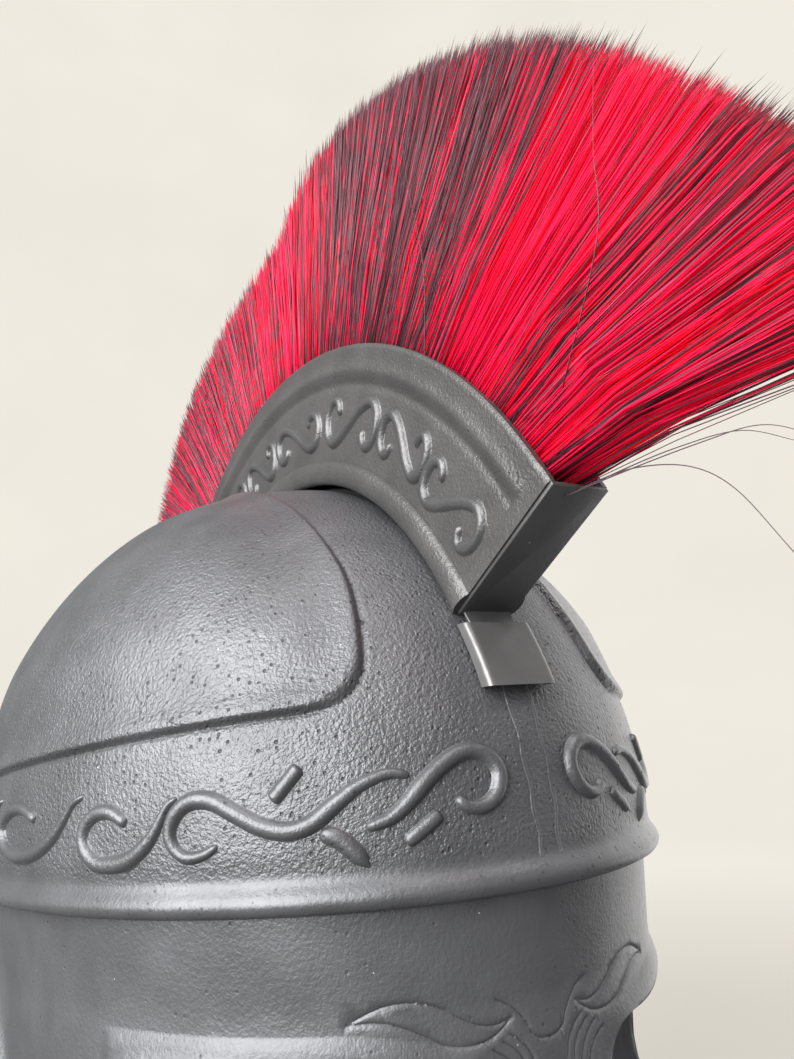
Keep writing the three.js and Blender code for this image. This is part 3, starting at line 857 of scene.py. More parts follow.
    def embossed(self, level_at: Surface) -> np.ndarray:
        """A row of the crown with the panels raised, its turns chosen on the plain crown."""
        def surface(turn: np.ndarray) -> np.ndarray:
            """Points of the row."""
            level = level_at(turn)
            points = FORM.crown(turn, level)
            return points + FORM.crown_normal(turn, level) * self.panel(points)[:, None]
        return self.row(surface, lambda t: FORM.crown(t, level_at(t)))

    @staticmethod
    def join_rims(work: MeshWork, coarse: np.ndarray, fine: np.ndarray) -> None:
        """Joins two rings that have different numbers of points with triangles."""
        points = np.vstack(work.points)
        turn = [np.arctan2(-points[ring, 0], FORM.widest_y - points[ring, 1]) % (2 * math.pi)
                for ring in (coarse, fine)]
        turn = [np.where(t > 2 * math.pi - 1e-6, 0.0, t) for t in turn]
        turn = [np.append(t, t[0] + 2 * math.pi) for t in turn]
        i = j = 0
        while i < len(coarse) or j < len(fine):
            a, b = coarse[i % len(coarse)], fine[j % len(fine)]
            if j >= len(fine) or (i < len(coarse) and turn[0][i + 1] < turn[1][j + 1]):
                work.faces.append((a, coarse[(i + 1) % len(coarse)], b))
                i += 1
            else:
                work.faces.append((a, fine[(j + 1) % len(fine)], b))
                j += 1


# ---- Lower wall ----


@dataclass
class FaceWall:
    """The wall under the bead: brow, nose guard, cheek guards, ear openings and neck guard."""

    finish: SatinPaint = SatinPaint("wall_paint", roughness=0.45, pebble_height=0.06, pit_share=0.05)
    tuck: float = 9.0
    flat_radius: float = 104.0         # turns are unrolled at this radius
    coarse: float = 3.0                # spacing of points on plain ground
    fine: float = 1.3                  # and near the openings and the motif
    near_edge: float = 7.0             # width of the finely spaced strip along the openings
    motif_box: tuple[Pair, Pair] = ((0.7, 72.0), (46.0, 120.0))    # low and high corner, unrolled
    cheek_depths: tuple[float, ...] = (20.0, 45.0)        # depths under the bead where the slope changes
    cheek_slopes: tuple[float, ...] = (0.1, -0.03, 0.06)  # and the slopes inward above, between, below
    nape_from: float = 95.0            # the neck guard's flare begins at this turn, in degrees
    nape_full: float = 135.0
    nape_depth: float = 50.0
    nape_flare: float = 24.0
    nape_tuck: float = 2.0
    ridge_z: float = 107.9
    ridge_dip: float = 4.0             # the brow ridge dips that much towards the nose
    ridge_dip_span: Pair = (10.0, 28.0)        # between these turns, in degrees
    ridge_start: Pair = (6.0, 14.0)            # it rises between these turns
    ridge_end: Pair = (54.6, 56.6)             # and ends between these
    ridge_out: float = 1.0
    ridge_half_height: float = 4.3
    # Rows of points over half the ridge, from its middle line.
    ridge_rows: tuple[float, ...] = (0.8, 1.6, 2.4, 3.2, 3.9, 4.3, 4.7, 5.4)
    cut_depth: float = 0.45
    cut_half_width: float = 0.42
    cut_middle: float = -3.3           # the motif's middle lies that far to one side
    ear_flare: float = 3.2
    ear_rim: float = 6.0               # width of the flared rim round the ear opening
    ear_arch: Pair = (40.0, 75.0)      # heights between which the flare sets in
    edge_lift: float = 0.7             # the cheek guards' front edges turn out a little
    edge_span: Pair = (1.6, 4.2)       # between these distances from the edge
    edge_turns: Pair = (0.55, 0.75)    # and from between these turns on, in radians

    # Right half of the openings' outlines, in millimetres.
    cheek_outline: tuple[Pair, ...] = (
        (70.0, 0.0), (62.0, 2.8), (57.4, 9.0), (57.0, 16.0), (59.6, 24.0), (60.4, 31.0), (58.6, 38.0),
        (59.4, 46.0), (65.5, 54.0), (74.0, 61.0), (79.0, 69.0))
    nose_outline: tuple[Triple, ...] = (
        (80.0, 74.0, 0.0), (80.0, 105.0, 8.0), (17.0, 105.0, 11.0), (8.6, 88.0, 10.0), (12.0, 64.0, 7.0),
        (0.0, 53.0, 0.0))
    ear_outline: tuple[Pair, ...] = (
        (4.6, 0.0), (1.6, 24.0), (-4.6, 48.0), (-8.0, 71.0), (-2.6, 91.0), (12.0, 105.6), (32.0, 111.0),
        (52.0, 105.6), (66.6, 91.0), (72.0, 71.0), (69.0, 50.0), (61.4, 27.0), (52.7, 0.0))

    # Cut lines of the brow, as (millimetres from the motif's middle, height under the bead).
    cuts: tuple[tuple[Pair, ...], ...] = (
        ((39.2, -21.1), (35.8, -19.3), (32.4, -18.1), (28.4, -17.9), (24.4, -18.8), (21.2, -20.2)),
        ((21.6, -20.0), (18.6, -22.0), (15.2, -23.6), (11.8, -24.1), (8.4, -23.3)),
        ((39.0, -21.2), (35.0, -20.9), (31.4, -21.6), (28.2, -22.9), (25.0, -24.6)),
        ((25.6, -24.2), (22.0, -26.2), (17.4, -26.9), (13.4, -26.4), (10.2, -24.8), (8.3, -23.4)),
        ((11.4, -19.6), (8.2, -21.3), (5.9, -23.6), (4.5, -25.8)),
        ((4.4, -26.6), (2.4, -28.0), (0.0, -28.4), (-2.4, -28.0), (-4.4, -26.6)),
        ((9.4, -26.0), (6.4, -28.2), (4.6, -31.0), (3.6, -35.0), (2.2, -44.0)),
        ((10.8, -27.2), (7.9, -29.4), (6.2, -32.4), (5.2, -38.0), (2.6, -50.0)),
        ((13.2, -28.2), (10.0, -30.6), (7.8, -34.4), (6.6, -41.0), (2.8, -56.0)),
        ((15.6, -30.0), (12.2, -32.0), (9.8, -35.6), (8.2, -43.0), (3.0, -62.0)))

    def lean(self, turn: np.ndarray, z: np.ndarray) -> np.ndarray:
        """How far the wall stands out from its top outline."""
        depth = FORM.bead_z - np.minimum(z, FORM.bead_z)
        nape = smooth(np.degrees(np.abs(turn)), self.nape_from, self.nape_full)
        (first, second), (above, between, under) = self.cheek_depths, self.cheek_slopes
        cheek = (above * np.minimum(depth, first) + between * np.clip(depth - first, 0.0, second - first)
                 + under * np.maximum(0.0, depth - second))
        below = np.maximum(0.0, depth - self.nape_depth) / (FORM.bead_z - self.nape_depth)
        flare = self.nape_flare * below**1.8 - self.nape_tuck * smooth(depth, 0.0, self.nape_depth)
        return -cheek * (1 - nape) + flare * nape

    def skin(self, turn: np.ndarray, z: np.ndarray, out: np.ndarray | float = 0.0) -> np.ndarray:
        """Points of the wall, pushed out by so much."""
        reach = self.lean(turn, z) + out
        xy = FORM.plan(turn, FORM.wall_half_width + reach, FORM.wall_half_length + reach)
        return np.concatenate([xy, z[..., None]], axis=-1)

    def turn_of_x(self, x: np.ndarray, z: np.ndarray) -> np.ndarray:
        """The turn at which the front of the wall is x millimetres from the middle."""
        turn = np.zeros_like(x)
        for _ in range(4):
            turn = np.arcsin(np.clip(x / (FORM.wall_half_width + self.lean(turn, z)), -1.0, 1.0))
        return turn

    def turn_of_y(self, y: np.ndarray, z: np.ndarray) -> np.ndarray:
        """The turn at which the side of the wall stands at y."""
        turn = np.full_like(y, math.pi / 2)
        for _ in range(4):
            half = FORM.wall_half_length + self.lean(turn, z)
            reach = np.where(y < FORM.widest_y, half + FORM.widest_y, half - FORM.widest_y)
            turn = np.arccos(np.clip((FORM.widest_y - y) / reach, -1.0, 1.0))
        return turn

    def flat(self, turn: np.ndarray, z: np.ndarray) -> np.ndarray:
        """The unrolled plan of the wall, in millimetres."""
        return np.stack([turn * self.flat_radius, z], axis=-1)

    def openings(self) -> tuple[np.ndarray, np.ndarray]:
        """The outlines of the face opening and of the ear opening, unrolled."""
        face = np.vstack([spline(self.cheek_outline, 8), rounded(self.nose_outline, 1.2)])
        face = respaced(face, self.fine)
        ear = respaced(spline(self.ear_outline, 10), self.fine)
        face_flat = self.flat(self.turn_of_x(face[:, 0], face[:, 1]), face[:, 1])
        return face_flat, self.flat(self.turn_of_y(ear[:, 0], ear[:, 1]), ear[:, 1])

    def outline(self, face: np.ndarray, ear: np.ndarray) -> np.ndarray:
        """The closed outline of the right half, unrolled."""
        top = FORM.bead_z + self.tuck
        far = math.pi * self.flat_radius

        def side(start: np.ndarray, end: np.ndarray) -> np.ndarray:
            """A straight side without its last point."""
            return respaced(np.array([start, end], float), self.coarse)[:-1]

        runs = [side((0.0, top), (far, top)), side((far, top), (far, 0.0)), side((far, 0.0), ear[-1]),
                ear[::-1][:-1], side(ear[0], face[0]), face[:-1], side(face[-1], (0.0, top))]
        return np.vstack(runs)

    @staticmethod
    def inside(points: np.ndarray, outline: np.ndarray) -> np.ndarray:
        """Which points lie inside a closed outline."""
        x, y = points[:, 0], points[:, 1]
        found = np.zeros(len(points), bool)
        for (ax, ay), (bx, by) in zip(outline, np.roll(outline, -1, axis=0)):
            if ay == by:
                continue
            crosses = (ay > y) != (by > y)
            found ^= crosses & (x < (bx - ax) * (y - ay) / (by - ay) + ax)
        return found

    def grid(self, spacing: float, low: Pair, high: Pair) -> np.ndarray:
        """Points in staggered rows over a box of the unrolled wall."""
        rows = []
        for i, v in enumerate(np.arange(low[1], high[1], spacing * 0.87)):
            u = np.arange(low[0] + (i % 2) * spacing / 2, high[0], spacing)
            rows.append(np.stack([u, np.full_like(u, v)], axis=1))
        return np.vstack(rows)

    def cut_lines(self) -> list[np.ndarray]:
        """The cut lines of both sides as (x, height under the bead)."""
        lines = []
        for side in (1.0, -1.0):
            for points in self.cuts:
                line = respaced(spline(points, 8), 0.5)
                lines.append(np.stack([side * line[:, 0] + self.cut_middle, line[:, 1]], axis=1))
        return lines

    def groove_points(self) -> np.ndarray:
        """Unrolled points along both edges and the middle of every cut line."""
        found = []
        for line in self.cut_lines():
            run = unit(np.gradient(line, axis=0))
            across = np.stack([-run[:, 1], run[:, 0]], axis=1) * self.cut_half_width
            for part in (line, line + across, line - across):
                z = part[:, 1] + FORM.bead_z
                found.append(self.flat(self.turn_of_x(np.abs(part[:, 0]), z), z))
        return np.vstack(found)

    def ridge_points(self) -> np.ndarray:
        """Unrolled points in rows along the brow ridge."""
        u = np.concatenate([np.arange(8.0, 98.0, 1.5), np.arange(98.0, 104.0, 0.6)])
        line = self.ridge_line(u / self.flat_radius)
        steps = [-step for step in reversed(self.ridge_rows)] + [0.0, *self.ridge_rows]
        return np.vstack([np.stack([u, line + step], axis=1) for step in steps])

    @staticmethod
    def thinned(points: np.ndarray, spacing: float) -> np.ndarray:
        """The points without those that share a small square with an earlier one."""
        cells = np.round(points / spacing).astype(int)
        kept = np.unique(cells, axis=0, return_index=True)[1]
        return points[np.sort(kept)]

    def fill(self, outline: np.ndarray, edges: np.ndarray) -> np.ndarray:
        """Points inside the outline: close together at the cuts, ridges and openings.

        Args:
            outline: the closed outline of the right half, unrolled.
            edges: the outlines of the openings.

        Returns:
            The points, each layer kept clear of the ones before it by its own distance.
        """
        far = math.pi * self.flat_radius
        top = FORM.bead_z + self.tuck - 1.0
        near = self.grid(self.fine, (0.7, 0.7), (far - 1.5, FORM.bead_z - 20.0))
        near = near[self.gap(near, edges) < self.near_edge]
        layers = [(self.thinned(self.groove_points(), 0.3), 0.35), (self.ridge_points(), 0.45), (near, 0.8),
                  (self.grid(self.fine, *self.motif_box), 0.8),
                  (self.grid(self.coarse, (1.5, 1.5), (far - 1.5, top)), 1.7)]
        kept = outline
        for points, clear in layers:
            points = points[self.inside(points, outline)]
            kept = np.vstack([kept, points[self.gap(points, kept) > clear]])
        LOG.info("wall: %d points inside its outline", len(kept) - len(outline))
        return kept[len(outline):]

    @staticmethod
    def gap(points: np.ndarray, line: np.ndarray) -> np.ndarray:
        """Distance from each point to the nearest point of a finely spaced line."""
        gaps = np.full(len(points), FAR)
        for start in range(0, len(line), 200):
            part = line[start:start + 200]
            away = np.linalg.norm(points[:, None, :] - part[None, :, :], axis=2)
            gaps = np.minimum(gaps, away.min(axis=1))
        return gaps

    def ridge_line(self, turn: np.ndarray) -> np.ndarray:
        """Height of the middle of the brow ridge."""
        return self.ridge_z - self.ridge_dip * (1 - smooth(np.degrees(np.abs(turn)), *self.ridge_dip_span))

    def brow(self, turn: np.ndarray, z: np.ndarray) -> np.ndarray:
        """Height of the brow ridges."""
        side = np.degrees(np.abs(turn))
        length = smooth(side, *self.ridge_start) * (1 - smooth(side, *self.ridge_end))
        section = np.clip(1 - (np.abs(z - self.ridge_line(turn)) / self.ridge_half_height) ** 2, 0.0, 1.0)
        return self.ridge_out * length * section

    def cut(self, points: np.ndarray) -> np.ndarray:
        """Depth of the cut lines, 0 to 1."""
        depth = np.zeros(len(points))
        front = (points[:, 1] < 0) & (np.abs(points[:, 0]) < 50) & (points[:, 2] > FORM.bead_z - 70)
        flat = np.stack([points[front, 0], points[front, 2] - FORM.bead_z], axis=1)
        gap = np.full(len(flat), FAR)
        for line in self.cut_lines():
            gap = np.minimum(gap, distance_to(flat, line))
        depth[front] = np.clip(1.15 - gap / self.cut_half_width, 0.0, 1.0)
        return depth

    def build(self) -> None:
        """Makes the wall."""
        face, ear = self.openings()
        outline = self.outline(face, ear)
        edges = np.vstack([face, ear])
        points = np.vstack([outline, self.fill(outline, edges)])
        loop = [(i, (i + 1) % len(outline)) for i in range(len(outline))]
        found = delaunay_2d_cdt([Vector(p) for p in points], loop, [], 1, 1e-4)
        flat = np.array([tuple(p) for p in found[0]])
        triangles = np.array([tuple(f) for f in found[2]])
        far = math.pi * self.flat_radius
        middle = (flat[:, 0] < 1e-3) | (flat[:, 0] > far - 1e-3)
        flat[flat[:, 0] > far - 1e-3, 0] = far
        other = np.where(middle, np.arange(len(flat)), 0)
        other[~middle] = len(flat) + np.arange(int((~middle).sum()))
        whole = np.vstack([flat, flat[~middle] * np.array([-1.0, 1.0])])
        triangles = np.vstack([triangles, other[triangles][:, ::-1]])
        turn, z = whole[:, 0] / self.flat_radius, whole[:, 1]
        folded = np.abs(whole)
        from_ear, from_face = self.gap(folded, ear), self.gap(folded, face)
        flare = self.ear_flare * smooth(z, *self.ear_arch) * (1 - smooth(from_ear, 0.0, self.ear_rim)) ** 1.2
        lift = (self.edge_lift * (1 - smooth(from_face, *self.edge_span))
                * smooth(np.abs(turn), *self.edge_turns))
        bend = self.brow(turn, z) + flare + lift
        outer = self.skin(turn, z, bend)
        outer = self.skin(turn, z, bend - self.cut_depth * self.cut(outer))
        inner = self.skin(turn, z, bend - FORM.sheet)
        wall = self.closed_shell("helmet_face_wall", outer, inner, triangles)
        fit_out(wall, "face_skirt", "wall_paint", self.finish.material())

    def closed_shell(self, name: str, outer: np.ndarray, inner: np.ndarray,
                     triangles: np.ndarray) -> bpy.types.Object:
        """Joins an outside and an inside skin with a rounded rim."""
        sides = np.vstack([triangles[:, [0, 1]], triangles[:, [1, 2]], triangles[:, [2, 0]]])
        present = {(int(a), int(b)) for a, b in sides}
        rim = [(a, b) for a, b in present if (b, a) not in present]
        out, normals = np.zeros_like(outer), np.zeros_like(outer)
        corners = outer[triangles]
        face_normals = np.cross(corners[:, 1] - corners[:, 0], corners[:, 2] - corners[:, 0])
        for k in range(3):
            np.add.at(normals, triangles[:, k], face_normals)
        normals = unit(normals)
        for a, b in rim:
            away = np.cross(unit(outer[b] - outer[a]), (normals[a] + normals[b]) / 2)
            out[a] += away
            out[b] += away
        used = sorted({a for a, _ in rim})
        number = {v: i for i, v in enumerate(used)}
        middle = (outer[used] + inner[used]) / 2 + unit(out[used]) * FORM.sheet * 0.32
        count = len(outer)
        faces = [tuple(t) for t in triangles] + [tuple(t[::-1] + count) for t in triangles]
        for a, b in rim:
            ma, mb = 2 * count + number[a], 2 * count + number[b]
            faces.append((b, a, ma, mb))
            faces.append((mb, ma, a + count, b + count))
        return mesh_object(name, np.vstack([outer, inner, middle]) * MM, faces, 60.0)


# ---- Crest box ----


def crest_point(x: np.ndarray, radius: np.ndarray, degrees: np.ndarray) -> np.ndarray:
    """Points at a radius and an angle from the top of the crest, positive towards the front."""
    angle = np.radians(degrees)
    return np.stack([x + 0 * angle, -radius * np.sin(angle), FORM.crest_z + radius * np.cos(angle)], -1)


class Side(Enum):
    """The wearer's sides."""

    RIGHT = -1
    LEFT = 1


@dataclass
class CrestPlate:
    """One side plate of the crest box, with its bead, its raised border and its scrolls."""

    side: Side
    # A darker copy of the dome's paint: painted shade on the crest box.
    finish: SatinPaint = SatinPaint("crest_paint", (0.104, 0.101, 0.099), 0.42, 0.11, pit_share=0.08)
    face: float = 8.1
    inner: float = 117.6
    outer: float = 162.7
    half_angle: float = 61.8
    bead_outer: float = 125.6
    bead_height: float = 1.9
    ridge: float = 154.6               # radius of the raised border's crest
    groove: float = 149.6              # and of the groove under it
    margin: float = 4.6                # width of the plain strip at each end
    border_height: float = 0.9
    crest_height: float = 0.55
    crest_width: float = 2.0
    groove_depth: float = 0.45
    groove_width: float = 1.3
    margin_height: float = 0.5
    edge_drop: float = 0.5
    # Distances from each end at which points are set, in millimetres of the middle radius.
    end_steps: tuple[float, ...] = (0.0, 0.35, 0.8, 2.0, 3.2, 4.0, 4.5, 5.0, 5.6, 6.2, 7.4)
    mm_per_degree: float = 2.45
    end_degrees: float = 4.2           # where the even columns begin, from each end
    face_columns: int = 104
    bead_rows: int = 12
    face_rows: int = 12
    border_spacing: float = 0.65
    back_points: int = 5
    # Half of an S scroll as (along, across) from its middle; the other half is its turned copy.
    half_scroll: tuple[Pair, ...] = (
        (-7.2, 1.4), (-7.8, 4.0), (-10.2, 5.4), (-13.0, 3.8), (-14.3, 0.2), (-13.2, -3.8), (-9.6, -5.6),
        (-4.6, -3.5))
    # Middle angle, middle radius, stretch along, stretch across (negative mirrors it).
    scroll_places: tuple[tuple[float, ...], ...] = (
        (52.1, 135.6, 1.02, 1.06), (39.3, 137.9, 0.94, -1.1), (25.0, 138.4, 1.2, 1.28),
        (7.6, 136.8, -1.24, 1.06), (-7.4, 136.8, 0.98, -1.2), (-21.6, 137.6, 1.1, 1.2),
        (-36.8, 137.4, -1.1, 1.15), (-51.4, 135.6, 1.02, -1.06))

    def scroll_finish(self) -> SatinPaint:
        """The plate's paint, smoother on the scrolls, and like it a darker copy of the dome's paint as
        painted shade.
        """
        return SatinPaint(f"crest_scroll_paint_{self.side.name.lower()}", (0.104, 0.102, 0.103), 0.38, 0.06,
                          pit_share=0.04)

    def ropes(self) -> list[Rope]:
        """The scrolls as (degrees, radius)."""
        half = np.array(self.half_scroll)
        whole = np.vstack([half, [[0.0, 0.0]], -half[::-1]])
        made = []
        for middle, radius, along, across in self.scroll_places:
            degrees = middle + np.degrees(whole[:, 0] * along / radius)
            points = np.stack([degrees, radius + whole[:, 1] * across], axis=1)
            made.append(Rope(tuple(map(tuple, points)), 1.9, 1.6, 0.8, 0.8, 0.7))
        return made

    def relief(self, degrees: np.ndarray, radius: np.ndarray) -> np.ndarray:
        """Height of the plate's face over its plain plane."""
        middle = (self.inner + self.bead_outer) / 2
        reach = (self.bead_outer - self.inner) / 2
        bead = self.bead_height * np.sqrt(np.clip(1 - ((radius - middle) / reach) ** 2, 0.0, 1.0))
        to_end = np.radians(self.half_angle - np.abs(degrees)) * radius
        inside = smooth(to_end, self.margin - 0.6, self.margin + 1.4)
        border = self.border_height * smooth(radius, self.groove, self.ridge)
        crown = self.crest_height * np.exp(-(((radius - self.ridge) / self.crest_width) ** 2))
        groove = self.groove_depth * np.exp(-(((radius - self.groove - 0.6) / self.groove_width) ** 2))
        high = inside * (border + crown - groove) + (1 - inside) * self.margin_height
        edge = -self.edge_drop * smooth(radius, self.outer - 0.6, self.outer)
        return bead + np.where(radius < self.bead_outer, 0.0, high) + edge

    def stations(self) -> tuple[np.ndarray, np.ndarray]:
        """The angles and radii at which the face has its points, closer where its relief is."""
        end = np.array(self.end_steps) / self.mm_per_degree
        plain = self.half_angle - self.end_degrees
        degrees = np.concatenate([-self.half_angle + end,
                                  np.linspace(-plain, plain, self.face_columns),
                                  self.half_angle - end[::-1]])
        bead = (self.inner + self.bead_outer) / 2 - (self.bead_outer - self.inner) / 2 * np.cos(
            np.linspace(0.0, math.pi, self.bead_rows))
        radius = np.concatenate([bead, np.linspace(self.bead_outer + 1.2, self.groove - 3.0, self.face_rows),
                                 np.arange(self.groove - 2.2, self.outer - 1.0, self.border_spacing),
                                 [self.outer - 0.6, self.outer - 0.25, self.outer]])
        return degrees, radius

    def section(self, angle: float, radius: np.ndarray) -> np.ndarray:
        """One closed section of the plate: its face outward along the radius, and its back."""
        sign, degrees = self.side.value, np.full(len(radius), angle)
        front = crest_point(sign * (self.face + self.relief(degrees, radius)), radius, degrees)
        back = crest_point(np.full(self.back_points, sign * (self.face - FORM.sheet)),
                           np.linspace(self.outer, self.inner, self.back_points),
                           np.full(self.back_points, angle))
        return np.vstack([front, back])

    def build(self) -> None:
        """Makes the plate and its scrolls."""
        side, sign = self.side.name.lower(), self.side.value
        degrees, radius = self.stations()
        work = MeshWork()
        work.loft(self.section(angle, radius) for angle in degrees)
        work.finish(f"crest_plate_{side}", 45.0, f"crest_side_{side}", "crest_paint", self.finish.material())
        work = MeshWork()
        for rope in self.ropes():
            rope.add_to(work, lambda own: crest_point(sign * self.face + 0 * own[:, 0], own[:, 1], own[:, 0]),
                        Vector((sign, 0.0, 0.0)))
        work.finish(f"crest_scrolls_{side}", 60.0, f"crest_side_{side}", "crest_paint",
                    self.scroll_finish().material())


@dataclass
class CrestStrip:
    """The floor of the crest box with its two end caps and the tongues under them."""

    # A darker copy of the dome's paint: painted shade on the crest box.
    finish: SatinPaint = SatinPaint("smooth_paint", (0.104, 0.102, 0.101), 0.38, 0.02, 500.0, 0.0, 0.01)
    edge_round: float = 0.28

    def build(self) -> None:
        """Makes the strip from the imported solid, with its edges rounded."""
        strip = linked("crest_floor_and_ends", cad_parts["crest_strip"].data.copy())
        weld = strip.modifiers.new("weld", "WELD")
        weld.merge_threshold = 0.01 * MM
        round_ = strip.modifiers.new("round", "BEVEL")
        round_.width = self.edge_round * MM
        round_.segments = 2
        round_.limit_method = "ANGLE"
        round_.angle_limit = math.radians(40.0)
        strip.data = evaluated(strip)
        smoothed(strip.data, 50.0)
        fit_out(strip, "crest_strip", "smooth_paint", self.finish.material())


def evaluated(thing: bpy.types.Object) -> bpy.types.Mesh:
    """The object's mesh with its modifiers applied; the modifiers are then removed."""
    bpy.context.view_layer.update()
    graph = bpy.context.evaluated_depsgraph_get()
    mesh = bpy.data.meshes.new_from_object(thing.evaluated_get(graph))
    thing.modifiers.clear()
    return mesh


@dataclass
class FoldedSocket:
    """A folded steel socket on the crown, which a tongue of the crest slides into."""

    node: str
    end: int
    # A lighter copy of the dome's paint: painted light on the sockets.
    finish: SatinPaint = SatinPaint("socket_paint", (0.150, 0.147, 0.145), 0.36, 0.03, 500.0, 0.0, 0.02)
    half: float = 9.75
    depth: float = 4.2
    low: float = 178.0
    top: float = 193.6
    corner: float = 1.3
    inner_corner: float = 0.4
    foot: float = 0.3                  # the folded sheet ends that far out from the crown
    bulge: float = 0.35                # its face stands out that much more in the middle
    rows: int = 12

    def section(self) -> np.ndarray:
        """The folded section as (x, out), a closed run round the sheet."""
        def bent(half: float, depth: float, corner: float) -> np.ndarray:
            """One side of the sheet."""
            return rounded([(-half, self.foot, 0), (-half, depth, corner), (half, depth, corner),
                            (half, self.foot, 0)], 0.8)

        inside = bent(self.half - FORM.sheet, self.depth - FORM.sheet, self.inner_corner)
        section = np.vstack([bent(self.half, self.depth, self.corner), inside[::-1]])
        section[:, 1] += self.bulge * (1 - (section[:, 0] / self.half) ** 2) * (section[:, 1] > 1.5)
        return section

    def build(self) -> None:
        """Makes the socket."""
        section = self.section()

        def row(z: float) -> np.ndarray:
            """The section laid on the crown at a height."""
            y = np.array([FORM.crown_front(z, float(out)) for out in section[:, 1]])
            points = np.stack([section[:, 0], y, np.full(len(y), z)], axis=1)
            return points * np.array([self.end, self.end, 1.0])

        work = MeshWork()
        work.loft(row(float(z)) for z in np.linspace(self.low, self.top, self.rows))
        name = f"crest_socket_{'front' if self.end > 0 else 'rear'}"
        work.finish(name, 40.0, self.node, "smooth_paint", self.finish.material())


# ---- Brush ----


@dataclass(frozen=True)
class Tuft:
    """The bristles of one colour: how many, where they gather and how they stand."""

    name: str
    finish: DyedBristle
    strands: int
    seed: int
    patch: Pair = (0.0, 0.01)
    width: float = 0.30
    half_width: float = 8.4
    tip_radius: float = 240.0
    ragged: float = 9.0
    scatter: float = 1.3
    gather: Pair = (0.0, 9.0)      # middle and reach of the stretch it grows on


